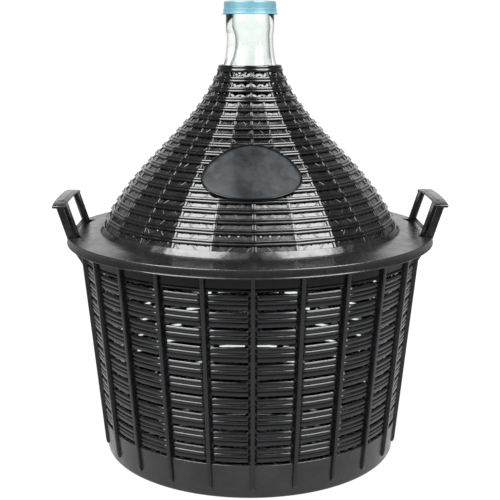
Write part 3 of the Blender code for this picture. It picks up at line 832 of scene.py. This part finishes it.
def strut_turns(row, start, end, edges):
    """Places where the zigzag of a row turns between two posts."""
    run = 2 * on_bell(row_middle(row))[0] * sin(pi / corners_of(row))
    margin = post_width(row_middle(row)) / 2 / run
    periods = max(1, round(run * (1 - 2 * margin) / STRUT_PERIOD))
    shares = even_steps(margin, 1 - margin, 2 * periods)
    return [on_chord(*edges[index % 2], start, end, share) for index, share in enumerate(shares)]


def make_cover_lattice():
    """Zigzag struts in the open rows, of which an uneven few are crowned."""
    shape = Shape()
    for row in range(OPEN_ROWS):
        corners = corners_of(row)
        wide = row < WIDE_ROWS
        above = WIDE_STRUT_WEB_ABOVE if wide else STRUT_WEB_ABOVE
        below = WIDE_STRUT_WEB_BELOW if wide else STRUT_WEB_BELOW
        edges = [on_bell(row_middle(row) - OPEN_ROW_HEIGHT / 2, -STRUT_TOP_INSET),
                 on_bell(row_middle(row) + OPEN_ROW_HEIGHT / 2, -STRUT_FOOT_INSET)]
        rise = edges[0][1] - edges[1][1]
        retreat = edges[1][0] - edges[0][0]
        for sector in range(corners):
            start = post_angle(sector, corners)
            end = post_angle(sector + 1, corners)
            normal = Vector(around(rise, (start + end) / 2, retreat)).normalized()
            turns = strut_turns(row, start, end, edges)
            for index, (first, second) in enumerate(zip(turns, turns[1:])):
                crowned = (3 * index + 5 * row + 7 * sector) % 4 == 0
                add_strut(shape, first, second, normal, above, below, STRUT_CROWN if crowned else 0)
    return shape.piece("cover_lattice", "cover", "black_plastic", LATTICE_BLACK)


def make_cover_seams():
    """Thin seam beads that cross the ridges in line with every third post."""
    shape = Shape()
    half = SEAM_WIDTH / 2
    bead = ((-half, -SEAM_RISE), (-half / 2, SEAM_RISE), (half / 2, SEAM_RISE), (half, -SEAM_RISE))
    for pair in range(OPEN_ROWS - 1):
        outline = ring_outline(pair_edges(pair))[:-2]
        for post in range(0, POSTS, SEAM_SPACING):
            sections = []
            for aside, rise in bead:
                places = [(aside, length, offset + rise) for length, offset in outline]
                places += [(aside, outline[end][0], -COVER_WALL / 2) for end in (-1, 0)]
                sections.append(bell_section(places, post_angle(post)))
            shape.loft(sections, False)
    return shape.piece("cover_seams", "cover", "black_plastic", COVER_BLACK)


# Oval plate

def plate_place(across, up, offset):
    """A place on the plate from its shares across and up."""
    end = PLATE_TOP_LENGTH if up > 0 else PLATE_FOOT_LENGTH
    length = PLATE_WIDEST_LENGTH + (end - PLATE_WIDEST_LENGTH) * abs(up)
    radius, height = on_bell(length, offset)
    return around(radius, across * PLATE_HALF_ANGLE, height)


def make_plate():
    """Bare oval plate on the front."""
    shape = Shape()
    levels = []
    for share in even_steps(0, 1, PLATE_RINGS)[1:]:
        fall = smooth_step((share - PLATE_BEAD_SHARE) / (1 - PLATE_BEAD_SHARE))
        levels.append((share, PLATE_RISE - PLATE_BEAD * fall))
    levels.append((1, 0))
    angles = even_steps(0, tau, PLATE_STEPS)[:-1]
    shape.loft([[plate_place(share * cos(angle), share * sin(angle), offset) for angle in angles]
                for share, offset in levels], False)
    return shape.piece("oval_plate", "cover", "black_plastic", PLATE_BLACK)


def bead_section(middle, normal, side, radius):
    """A small circle round a place, in the plane of two directions."""
    return [middle + (normal * sin(turn) + side * cos(turn)) * radius
            for turn in even_steps(0, tau, BEAD_CORNERS)[:-1]]


def rim_place(angle, offset):
    """A place on the line that the plate's bead follows."""
    return Vector(plate_place(PLATE_BEAD_SHARE * cos(angle), PLATE_BEAD_SHARE * sin(angle), offset))


def make_plate_edge():
    """Bead along the plate's edge, and a thin upright seam bead across it."""
    shape = Shape()
    bead = []
    for angle in even_steps(0, tau, PLATE_STEPS)[:-1]:
        middle = rim_place(angle, PLATE_RISE)
        ahead = (rim_place(angle + BEAD_LOOK_AHEAD, PLATE_RISE) - middle).normalized()
        normal = (rim_place(angle, PLATE_RISE + PLATE_BEAD) - middle).normalized()
        bead.append(bead_section(middle, normal, ahead.cross(normal), PLATE_BEAD))
    shape.loft(bead, True)
    seam = []
    for up in even_steps(PLATE_SEAM_END_SHARE, -PLATE_SEAM_END_SHARE, PLATE_SEAM_STEPS):
        middle = Vector(plate_place(PLATE_SEAM_ASIDE_SHARE, up, PLATE_RISE - PLATE_SEAM_RADIUS))
        normal = (Vector(plate_place(PLATE_SEAM_ASIDE_SHARE, up, PLATE_RISE)) - middle).normalized()
        seam.append(bead_section(middle, normal, Vector((1, 0, 0)), PLATE_SEAM_RADIUS))
    shape.loft(seam, False)
    return shape.piece("plate_edge", "cover", "black_plastic", COVER_BLACK)


# Flange

def notch_cutter(side):
    """Block behind an arc, where a handle stands."""
    radius = RIM_RADIUS - NOTCH_DEPTH
    reach = asin(NOTCH_HALF_WIDTH / radius)
    outline = [(side * radius * cos(angle), radius * sin(angle))
               for angle in even_steps(-reach, reach, NOTCH_STEPS)]
    far = side * (RIM_RADIUS + NOTCH_DEPTH)
    outline += [(far, NOTCH_HALF_WIDTH), (far, -NOTCH_HALF_WIDTH)]
    shape = Shape()
    heights = (FLANGE_FOOT - NOTCH_DEPTH, FLANGE_CROWN + NOTCH_DEPTH)
    shape.loft([[(x, y, height) for x, y in outline] for height in heights], False)
    return shape.mesh("notch")


def make_flange():
    """Wide flange that rests on the basket's rim, with a notch round each handle."""
    inner = COVER_FOOT_RADIUS - COVER_WALL
    edge_top = FLANGE_FOOT + FLANGE_THICKNESS
    ledge = RIM_RADIUS - LEDGE_WIDTH
    outline = [(inner, FLANGE_CROWN), (inner + COVER_WALL, FLANGE_CROWN)]
    outline += bezier(
        (inner + COVER_WALL, FLANGE_CROWN), (ledge, FLANGE_CROWN),
        (ledge, edge_top + SEAT_GAP), (RIM_RADIUS - FLANGE_EDGE_RADIUS * 3, edge_top), 8)
    outline += arc(
        (RIM_RADIUS - FLANGE_EDGE_RADIUS, edge_top - FLANGE_EDGE_RADIUS), FLANGE_EDGE_RADIUS, pi / 2, 0, 4)
    outline += [(RIM_RADIUS, FLANGE_FOOT), (ledge, FLANGE_FOOT), (inner, FLANGE_CROWN - FLANGE_THICKNESS)]
    shape = Shape()
    shape.loft(turned_sections(outline), True)
    notches = [notch_cutter(side) for side in (1, -1)]
    mesh = worked_mesh(shape.mesh("flange_blank"), NOTCH_EDGE, 3, BLUNT_ANGLE, notches)
    return finish_piece("flange", mesh, "cover", FLANGE_BLACK)


# Basket

def rib_radius(height):
    """Outer radius of the ribs' straight part."""
    return RIM_RADIUS - RIM_OVERHANG - tan(WALL_LEAN) * (RIM_TOP - height)


def band_radius(height):
    """Outer radius of the plain band."""
    return rib_radius(height) - RIB_PROUD_OF_BAND


def slat_radius(height):
    """Outer radius of the slats beside the ribs."""
    return rib_radius(height) - RIB_PROUD_OF_SLATS


def strand_outline(top, foot, depth):
    """Crowned strand between two heights, as height and inset."""
    return [((top + foot) / 2 + (top - foot) / 2 * share, -depth * share ** 2)
            for share in even_steps(1, -1, STRAND_STEPS)]


def slat_outline(top, foot):
    """Three strands of a slat row, then its flat inner side."""
    height = top - foot
    first = top - height * UPPER_STRAND_SHARE
    second = first - height * MIDDLE_STRAND_SHARE
    outline = strand_outline(top, first, UPPER_STRAND_DEPTH)
    outline += strand_outline(first, second, MIDDLE_STRAND_DEPTH)[1:]
    outline += strand_outline(second, foot, LOWER_STRAND_DEPTH)[1:]
    return outline + [(foot, -BASKET_WALL), (top, -BASKET_WALL)]


def bay_sections(outline, bow, dip):
    """Sections of a row that bows out between the ribs and dips in beside them."""
    sections = []
    bay = tau / RIB_COUNT
    radius = slat_radius(outline[0][0])
    for rib in range(RIB_COUNT):
        for share in BAY_SHARES:
            angle = tau * (rib + share) / RIB_COUNT
            from_rib = min(share, 1 - share) * bay * radius - RIB_WIDTH / 2
            out = bow * (1 - abs(2 * share - 1) ** SLAT_END_POWER)
            out += SLAT_FLAT_SHARE * radius * (cos(bay / 2) / cos(bay * (share - 1 / 2)) - 1)
            out -= dip * (1 - smooth_step(from_rib / SLAT_DIP_LENGTH))
            section = []
            for height, inset in outline:
                face = out if inset > -BASKET_WALL else 0
                section.append(around(slat_radius(height) + inset + face, angle, height))
            sections.append(section)
    return sections


def slat_rows():
    """Top and foot of each slat row, from the bottom up."""
    strip_foot = RIM_TOP - LEDGE_THICKNESS - SEAT_GAP - TOP_STRIP_HEIGHT
    pitch = (strip_foot - BAND_HEIGHT - GAP_HEIGHT) / SLAT_ROWS
    rows = []
    for row in range(SLAT_ROWS):
        foot = BAND_HEIGHT + GAP_HEIGHT + row * pitch
        rows.append((foot + pitch - GAP_HEIGHT, foot - ROW_GROWTH))
    return rows


def make_slats():
    """Rows of three strands."""
    shape = Shape()
    for top, foot in slat_rows():
        shape.loft(bay_sections(slat_outline(top, foot), SLAT_BOW, SLAT_DIP), True)
    return shape.piece("slat_rows", "basket", "black_plastic", BASKET_BLACK)


def make_top_strip():
    """Plain strip under the rim, with a thin bead and a strand along its foot."""
    shape = Shape()
    top = RIM_TOP - LEDGE_THICKNESS / 2
    foot = RIM_TOP - LEDGE_THICKNESS - SEAT_GAP - TOP_STRIP_HEIGHT - STRIP_GROWTH
    strand = foot + STRIP_STRAND_HEIGHT
    outline = [
        (top, 0), (strand + STRIP_BEAD_TOP, 0),
        (strand + STRIP_BEAD_MIDDLE, STRIP_BEAD_RISE), (strand + STRIP_BEAD_FOOT, 0),
    ]
    outline += strand_outline(strand, foot, MIDDLE_STRAND_DEPTH)
    outline += [(foot, -BASKET_WALL), (top, -BASKET_WALL)]
    shape.loft(bay_sections(outline, SLAT_BOW * STRIP_BOW_SHARE, 0), True)
    # The strip's darker plastic is painted shade from the rim over it
    return shape.piece("top_strip", "basket", "black_plastic", SHADED_STRIP_BLACK)


def make_bottom_band():
    """Plain band with a rounded foot, and the basket's floor."""
    edge = (band_radius(BAND_EDGE_RADIUS) - BAND_EDGE_RADIUS, BAND_EDGE_RADIUS)
    outline = [
        (AXIS_GAP, FLOOR_THICKNESS),
        (band_radius(FLOOR_THICKNESS) - BASKET_WALL, FLOOR_THICKNESS),
        (band_radius(BAND_HEIGHT) - BASKET_WALL, BAND_HEIGHT),
        (band_radius(BAND_HEIGHT) - BAND_TOP_EDGE, BAND_HEIGHT),
        (band_radius(BAND_HEIGHT), BAND_HEIGHT - BAND_TOP_EDGE),
    ]
    for height in even_steps(BAND_HEIGHT, BAND_EDGE_RADIUS, BAND_STEPS)[1:-1]:
        outline.append((band_radius(height), height))
    outline += arc(edge, BAND_EDGE_RADIUS, 0, -pi / 2, 6)
    outline += [(AXIS_GAP, 0)]
    # The band's lighter plastic is painted light
    return turned_piece("bottom_band", outline, "basket", "black_plastic", LIT_BAND_BLACK)


def rib_tip():
    """Heights, outer radii and half widths along a rib's rounded tip."""
    stations = []
    for turn in even_steps(0, pi / 2, RIB_TIP_STEPS):
        height = RIB_TIP + RIB_FOOT_WIDTH * (1 - cos(turn))
        sink = RIB_PROUD_OF_BAND * RIB_TIP_SINK_SHARE * (1 - sin(turn))
        half = RIB_FOOT_WIDTH / 2 * (RIB_TIP_WIDTH_SHARE + (1 - RIB_TIP_WIDTH_SHARE) * sin(turn))
        stations.append((height, rib_radius(height) - sink, half))
    return stations


def rib_gusset(foot, top):
    """Heights, outer radii and half widths of the curve that carries a handle's side of the rim."""
    edge = RIM_RADIUS - GUSSET_INSET
    middle = foot + GUSSET_HEIGHT / 3
    curve = bezier(
        (rib_radius(foot), foot), (rib_radius(middle), middle),
        (edge - GUSSET_HEIGHT / 8, top - GUSSET_TOP_HEIGHT - GUSSET_HEIGHT / 4),
        (edge, top - GUSSET_TOP_HEIGHT), 12)
    curve.append((edge, top + GUSSET_OVERLAP))
    return [(height, radius, RIB_FRONT_WIDTH / 2) for radius, height in curve]


def rib_stations(gusset):
    """Heights, outer radii and half widths of a rib from its tip to the rim."""
    top = SKIRT_FOOT if gusset else RIM_TOP - LEDGE_THICKNESS / 2
    straight_top = top - GUSSET_HEIGHT if gusset else top
    stations = rib_tip()
    for height in even_steps(stations[-1][0], straight_top, RIB_STEPS)[1:]:
        above = height - BAND_HEIGHT * RIB_SPREAD_START_SHARE
        spread = smooth_step(above / (BAND_HEIGHT * RIB_SPREAD_LENGTH_SHARE))
        half = (RIB_FOOT_WIDTH + (RIB_FRONT_WIDTH - RIB_FOOT_WIDTH) * spread) / 2
        stations.append((height, rib_radius(height), half))
    return stations + (rib_gusset(straight_top, top) if gusset else [])


def rib_outline(height, outer, half):
    """Plan of a rib at a height, with a rounded front."""
    edge = min(RIB_EDGE, half)
    outline = [(rib_radius(height) - RIB_DEPTH, -half * RIB_WIDTH / RIB_FRONT_WIDTH), (outer - edge, -half)]
    for turn in even_steps(0, pi / 2, RIB_EDGE_STEPS)[1:]:
        outline.append((outer - edge + edge * sin(turn), -half + edge - edge * cos(turn)))
    return mirrored_outline(outline)


def web_outline(height):
    """Plan of the upright strip behind a rib that joins the rows and rounds the ends of the gaps."""
    outer = slat_radius(height) - WEB_INSET
    half = WEB_WIDTH / 2
    return mirrored_outline([
        (outer - BASKET_WALL / 2, -half), (outer - WEB_EDGE, -half), (outer, -half + WEB_EDGE)])


def make_ribs():
    """Upright ribs with webs behind them; the two under the handles have a gusset."""
    shape = Shape()
    web_heights = (BAND_HEIGHT - BASKET_WALL, RIM_TOP - LEDGE_THICKNESS - TOP_STRIP_HEIGHT)
    for rib in range(RIB_COUNT):
        angle = tau * rib / RIB_COUNT
        stations = rib_stations(rib % (RIB_COUNT // 2) == RIB_COUNT // 4)
        plans = [(height, rib_outline(height, outer, half)) for height, outer, half in stations]
        webs = [(height, web_outline(height)) for height in web_heights]
        for run in (plans, webs):
            shape.loft([[beside(radius, angle, height, aside) for radius, aside in plan]
                        for height, plan in run], False)
    return shape.piece("ribs", "basket", "black_plastic", RIB_BLACK)


def make_rim():
    """Ledge that carries the cover, and its skirt."""
    ledge = RIM_RADIUS - LEDGE_WIDTH
    edge = SKIRT_EDGE_RADIUS
    step = FLANGE_FOOT - LEDGE_DROP
    outline = [
        (ledge, RIM_TOP - LEDGE_THICKNESS), (ledge, RIM_TOP), (RIM_RADIUS - edge, RIM_TOP),
        (RIM_RADIUS - edge, step), (RIM_RADIUS, step), (RIM_RADIUS - edge / 2, SKIRT_FOOT + edge * 3),
    ]
    outline += arc((SKIRT_RADIUS - edge, SKIRT_FOOT + edge), edge, pi / 3, -pi / 2, 6)
    outline += [(RIM_RADIUS - SKIRT_WALL, SKIRT_FOOT), (RIM_RADIUS - SKIRT_WALL, RIM_TOP - LEDGE_THICKNESS)]
    return turned_piece("rim_skirt", outline, "basket", "black_plastic", RIB_BLACK)


# Handles

def handle_place(depth, aside, height, side):
    """A place on a handle, leaned outwards; depth runs from the legs' inner faces."""
    notch = RIM_RADIUS - NOTCH_DEPTH
    inner = sqrt(notch ** 2 - (HANDLE_WIDTH / 2 - LEG_WIDTH) ** 2) + SEAT_GAP
    x = inner + depth + tan(HANDLE_LEAN) * (height - FLANGE_FOOT)
    return (side * x, side * aside, height)


def leg_outline(hand):
    """Plan of a leg as depth and place aside, with an open pocket and a slant towards the window."""
    inner = HANDLE_WIDTH / 2 - LEG_WIDTH
    outer = HANDLE_WIDTH / 2
    outline = [
        (0, inner), (WINDOW_EDGE_DEPTH, inner), (HANDLE_DEPTH, outer), (LEG_CHAMFER_DEPTH, outer),
        (0, outer - LEG_CHAMFER_WIDTH), (0, outer - LEG_CHAMFER_WIDTH - LEG_WALL / 2),
        (POCKET_DEPTH, outer - LEG_CHAMFER_WIDTH - LEG_WALL), (POCKET_DEPTH, inner + LEG_WALL),
        (0, inner + LEG_WALL / 2),
    ]
    return [(depth, hand * aside) for depth, aside in outline]


def grip_height(share):
    """Height of the grip's top, highest in its middle and rounded down at its ends."""
    fall = GRIP_ARCH_SHARE * share ** 2 + (1 - GRIP_ARCH_SHARE) * share ** 6
    return FLANGE_FOOT + HANDLE_HEIGHT - GRIP_RISE * fall


def handle_legs(name, side):
    """Two channel legs and the low crossbar between them."""
    shape = Shape()
    half = HANDLE_WIDTH / 2 + GRIP_OVERHANG
    for hand in (-1, 1):
        outline = leg_outline(hand)
        feet = [handle_place(depth, aside, FLANGE_FOOT - FLANGE_THICKNESS, side) for depth, aside in outline]
        heads = [handle_place(depth, aside, grip_height(aside / half) - GRIP_THICKNESS / 2, side)
                 for depth, aside in outline]
        shape.loft([feet, heads], False)
    reach = HANDLE_WIDTH / 2 - LEG_WIDTH + LEG_WALL / 2
    bar_top = FLANGE_FOOT + CROSSBAR_HEIGHT
    corners = [(CROSSBAR_SETBACK, -reach), (WINDOW_EDGE_DEPTH, -reach),
               (WINDOW_EDGE_DEPTH, reach), (CROSSBAR_SETBACK, reach)]
    shape.loft([[handle_place(depth, aside, height, side) for depth, aside in corners]
                for height in (bar_top - CROSSBAR_THICKNESS, bar_top)], False)
    return worked_mesh(shape.mesh(name), HANDLE_EDGE, 3)


def grip_plate(name, side, reach, rise, inset, edge, segments):
    """Arched plate over the legs with rounded edges: the grip, or the lower pad that lies on it."""
    shape = Shape()
    half = HANDLE_WIDTH / 2 + GRIP_OVERHANG
    lean = tan(HANDLE_LEAN) * (HANDLE_HEIGHT - GRIP_RISE)
    ends = (inset, GRIP_DEPTH - inset)
    sections = []
    for share in even_steps(-reach, reach, GRIP_STEPS):
        top = grip_height(share) + rise
        section = []
        for height, depths in ((top, ends), (top - GRIP_THICKNESS, ends[::-1])):
            start = lean - tan(HANDLE_LEAN) * (height - FLANGE_FOOT)
            section += [handle_place(start + depth, half * share, height, side) for depth in depths]
        sections.append(section)
    shape.loft(sections, False)
    return worked_mesh(shape.mesh(name), edge, segments)


def make_handle(name, side):
    """Channel legs, low crossbar, arched grip plate and its pad."""
    grip = grip_plate(name, side, 1, 0, 0, GRIP_EDGE, 4)
    pad = grip_plate(name, side, PAD_REACH_SHARE, PAD_RISE, PAD_INSET, PAD_RISE, 2)
    mesh = joined_mesh(name, [handle_legs(name, side), grip, pad])
    return finish_piece(name, mesh, "basket", HANDLE_BLACK, BLUNT_ANGLE)


# Bottle and cap

def offset_outline(points, depth):
    """Points moved to the left of their run by a depth."""
    path = np.array(points)
    along = np.gradient(path, axis=0)
    along /= np.linalg.norm(along, axis=1)[:, None]
    return [tuple(point) for point in path + np.stack((along[:, 1], -along[:, 0]), axis=1) * depth]


def moved(place, steps):
    """Places that lie outwards and up from a place on the profile."""
    return [(place[0] + out, place[1] + up) for out, up in steps]


def neck_outline(shoulder_top):
    """Outer profile from the mouth's side down to the shoulder."""
    base = (NECK_RADIUS, COVER_TOP)
    outline = [(NECK_RADIUS, GLASS_TOP - NECK_EDGE_HEIGHT), (NECK_RADIUS, COVER_TOP + NECK_FINISH_HEIGHT)]
    outline += bezier(outline[-1], *moved(base, NECK_WAIST), 6)
    outline += bezier(outline[-1], *moved(base, NECK_FOOT), shoulder_top, 10)
    return outline


def body_outline(shoulder):
    """Outer profile from the shoulder's foot down to the bottle's standing ring."""
    top_height = RIM_TOP - BODY_TOP_DROP
    top_radius = rib_radius(top_height) - BASKET_INSIDE_DEPTH - BODY_TOP_GAP
    foot_height = GLASS_FOOT + BODY_FOOT_RISE
    foot_radius = rib_radius(foot_height) - BASKET_INSIDE_DEPTH - BODY_FOOT_GAP
    along = (Vector(shoulder[-1]) - Vector(shoulder[-2])).normalized() * SHOULDER_REACH
    outline = bezier(shoulder[-1], tuple(Vector(shoulder[-1]) + along),
                     (top_radius, top_height + SHOULDER_REACH), (top_radius, top_height), 12)
    outline += list(zip(even_steps(top_radius, foot_radius, BODY_STEPS),
                        even_steps(top_height, foot_height, BODY_STEPS)))[1:]
    return outline + bezier(outline[-1], *moved((foot_radius, GLASS_FOOT), FOOT_CORNER), 10)


def base_outline(standing):
    """Outer profile from the standing ring to the middle of the raised base."""
    crown = GLASS_FOOT + PUNT_HEIGHT
    outline = bezier(standing, *moved(standing, STANDING_RING), 6)
    return outline + bezier(outline[-1], *moved(standing, PUNT_SLOPE),
                            (PUNT_CROWN_REACH, crown), (AXIS_GAP, crown), 10)


def bottle_outline():
    """Outer profile from the mouth's side to the middle of the raised base."""
    lengths = even_steps(SHOULDER_CLEARANCE, BELL_LENGTH - SHOULDER_CLEARANCE, SHOULDER_STEPS)
    shoulder = [on_bell(length, -COVER_WALL - GLASS_GAP) for length in lengths]
    body = body_outline(shoulder)
    return neck_outline(shoulder[0]) + shoulder[1:] + body + base_outline(body[-1])


def mouth_outline():
    """Rounded lip of the mouth, from its outer side to its inner one."""
    outside = moved((NECK_RADIUS - LIP_INSET, GLASS_TOP), LIP_OUTSIDE)
    return outside + moved((NECK_RADIUS - NECK_WALL, GLASS_TOP), LIP_INSIDE)


def in_bore(point):
    """A place on the inner skin, drawn in and aside where the neck's bore is uneven."""
    x, y, height = point
    away = abs(height - COVER_TOP - BORE_MIDDLE) / BORE_REACH
    share = cos(pi / 2 * away) ** 2 if away < 1 else 0
    narrow = 1 - BORE_NARROWING * share / max(sqrt(x * x + y * y), AXIS_GAP)
    return (x * narrow + BORE_SHIFT * share, y * narrow, height)


def make_bottle():
    """Blown glass: outer and inner skin joined at the mouth."""
    outer = bottle_outline()
    inner = [(max(radius, AXIS_GAP), height) for radius, height in offset_outline(outer, GLASS_WALL)]
    inner[-1] = (AXIS_GAP, inner[-1][1])
    outside = outer[::-1] + mouth_outline()
    shape = Shape()
    sections = []
    for section in turned_sections(outside + inner[1:], BOTTLE_STEPS):
        sections.append(section[:len(outside)] + [in_bore(point) for point in section[len(outside):]])
    shape.loft(sections, True)
    return shape.piece("bottle_glass", "bottle", "glass", GLASS, BOTTLE_SHARP_ANGLE)


def make_cap():
    """Cap with a rounded top edge, a slight step and a thin lip at its foot."""
    radius = CAP_LIP_RADIUS - CAP_LIP_WIDTH
    step = CAP_TOP - CAP_STEP_HEIGHT
    lip_top = CAP_FOOT + CAP_LIP_THICKNESS
    skirt = radius + CAP_STEP_WIDTH + CAP_TAPER
    inner = NECK_RADIUS + SEAT_GAP
    outline = [(AXIS_GAP, CAP_TOP - CAP_SAG), (radius * CAP_SAG_SHARE, CAP_TOP - CAP_SAG / 2)]
    outline += arc((radius - CAP_EDGE_RADIUS, CAP_TOP - CAP_EDGE_RADIUS), CAP_EDGE_RADIUS, pi / 2, 0, 8)
    outline += [
        (radius + CAP_TAPER, step + CAP_STEP_WIDTH), (radius + CAP_STEP_WIDTH, step),
        (skirt, lip_top + CAP_FILLET_HEIGHT), (skirt + CAP_LIP_EDGE, lip_top + CAP_LIP_EDGE),
        (CAP_LIP_RADIUS - CAP_LIP_EDGE, lip_top), (CAP_LIP_RADIUS, lip_top - CAP_LIP_EDGE),
        (CAP_LIP_RADIUS, CAP_FOOT + CAP_LIP_EDGE), (CAP_LIP_RADIUS - CAP_LIP_EDGE, CAP_FOOT),
        (inner, CAP_FOOT), (inner, GLASS_TOP + SEAT_GAP), (AXIS_GAP, GLASS_TOP + SEAT_GAP),
    ]
    shape = Shape()
    shape.loft(turned_sections(outline, ROUND_STEPS // 2), True)
    return shape.piece("soft_cap", "cap", "cap_plastic", CAP_BLUE)


# Studio

def make_camera():
    """Camera at the photograph's place, with its field of view."""
    data = bpy.data.cameras.new("camera")
    data.sensor_width = SENSOR_WIDTH
    data.lens = SENSOR_WIDTH * FOCAL_PIXELS / PHOTO_PIXELS
    camera = new_object("camera", data)
    camera.location = around(CAMERA_DISTANCE, -CAMERA_TURN, CAMERA_HEIGHT)
    camera.rotation_euler = (pi / 2 - CAMERA_PITCH, 0, -CAMERA_TURN)
    bpy.context.scene.camera = camera


def any_ray(tree, *names):
    """1 where a ray is of one of the named kinds, else 0."""
    path = add_node(tree, "LightPath")
    total = path.outputs[names[0]]
    for name in names[1:]:
        total = combine(tree, "MAXIMUM", total, path.outputs[name])
    return total


def make_world():
    """White where it is seen and in gloss behind the object, dimmer in other gloss and where it lights."""
    world = bpy.data.worlds.new("studio")
    bpy.context.scene.world = world
    world.use_nodes = True
    tree = world.node_tree
    background = tree.nodes["Background"]
    set_inputs(background, {"Color": (1, 1, 1, 1)})
    place = add_node(tree, "TexCoord")
    split = add_node(tree, "SeparateXYZ")
    link(tree, place.outputs["Generated"], split.inputs["Vector"])
    behind = ramp(tree, split.outputs["Y"], SIDE_REFLECTION, 1.0, *BEHIND_SHARES)
    mirrored = combine(tree, "MULTIPLY", behind, any_ray(tree, "Is Glossy Ray"))
    seen = combine(tree, "MAXIMUM", any_ray(tree, "Is Camera Ray", "Is Transmission Ray"), mirrored)
    lit = combine(tree, "MULTIPLY", any_ray(tree, "Is Diffuse Ray"), WORLD_LIGHT)
    link(tree, combine(tree, "MAXIMUM", seen, lit), background.inputs["Strength"])


def floor_material():
    """Pale grey that keeps the shadow and glows up to the white of the background."""
    material, tree, shader = new_material("pale_floor")
    set_inputs(shader, {"Base Color": (FLOOR_GREY, FLOOR_GREY, FLOOR_GREY, 1), "Roughness": 0.9,
                        "Specular IOR Level": 0, "Emission Color": (1, 1, 1, 1)})
    near = ramp(tree, distance(tree), FLOOR_WHITE, FAR_FLOOR_REFLECTION, NEAR_FLOOR, FAR_FLOOR)
    mirrored = combine(tree, "MULTIPLY", near, any_ray(tree, "Is Glossy Ray"))
    seen = combine(tree, "MULTIPLY", any_ray(tree, "Is Camera Ray", "Is Transmission Ray"), FLOOR_WHITE)
    link(tree, combine(tree, "MAXIMUM", seen, mirrored), shader.inputs["Emission Strength"])
    return material


def make_floor():
    """Floor that runs into the white background."""
    mesh = bpy.data.meshes.new("floor")
    corners = [(-1, -1), (1, -1), (1, 1), (-1, 1)]
    mesh.from_pydata([(FLOOR_REACH * x, FLOOR_REACH * y, 0) for x, y in corners], [], [(0, 1, 2, 3)])
    mesh.materials.append(floor_material())
    floor_piece = new_object("floor", mesh)
    floor_piece.location.z = -FLOOR_GAP


def add_softbox(name, azimuth, elevation, away, size, radiance, roll=0, rise=0, sheen_only=False):
    """Area light that faces the middle of the object; azimuth 0 is in front."""
    data = bpy.data.lights.new(name, "AREA")
    data.shape = "RECTANGLE"
    data.size, data.size_y = size
    data.energy = radiance * pi * size[0] * size[1]
    lamp = new_object(name, data)
    lamp.visible_diffuse = not sheen_only
    lamp.visible_transmission = not sheen_only
    aim = Vector(around(cos(elevation), azimuth, sin(elevation)))
    turn = (-aim).to_track_quat("-Z", "Y") @ Quaternion((0, 0, 1), roll)
    lamp.rotation_euler = turn.to_euler()
    lamp.location = Vector((0, 0, AIM_HEIGHT)) + aim * away + turn @ Vector((0, rise, 0))


def make_lights():
    """Soft boxes beside the camera, sheen lamps that light gloss alone, and weak boxes at the back."""
    for side, name in ((-1, "left"), (1, "right")):
        add_softbox(name + "_box", side * KEY_AZIMUTH, KEY_ELEVATION, KEY_DISTANCE, KEY_SIZE, KEY_RADIANCE)
        for height, size, radiance, rise in (
                ("", HIGH_SHEEN_SIZE, HIGH_SHEEN_RADIANCE, HIGH_SHEEN_RISE),
                ("_low", LOW_SHEEN_SIZE, LOW_SHEEN_RADIANCE, LOW_SHEEN_RISE)):
            add_softbox(name + height + "_sheen", side * SHEEN_AZIMUTH, SHEEN_ELEVATION, SHEEN_DISTANCE,
                        size, radiance, -side * SHEEN_ROLL, rise, True)
    for side, name in ((1, "right"), (-1, "left")):
        add_softbox(name + "_back_box", side * BACK_AZIMUTH, BACK_ELEVATION, BACK_DISTANCE,
                    BACK_SIZE, BACK_RADIANCE)


def main():
    """Make the pieces, hide the model's nodes that they replace, and light them."""
    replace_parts(make_cover_rings(), "cover_cone")
    make_cover_band()
    make_cover_posts()
    make_cover_lattice()
    make_cover_seams()
    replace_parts(make_plate(), "cover_plate")
    make_plate_edge()
    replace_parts(make_flange(), "cover_flange")
    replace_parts(make_slats(), "basket_body")
    make_top_strip()
    make_bottom_band()
    make_ribs()
    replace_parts(make_rim(), "basket_rim")
    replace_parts(make_handle("right_handle", 1), "handle_right")
    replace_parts(make_handle("left_handle", -1), "handle_left")
    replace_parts(make_bottle(), "glass_bottle")
    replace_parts(make_cap(), "neck_cap")
    make_camera()
    make_world()
    make_floor()
    make_lights()


main()
bpy.context.scene.view_settings.view_transform = "Standard"
bpy.context.view_layer.update()
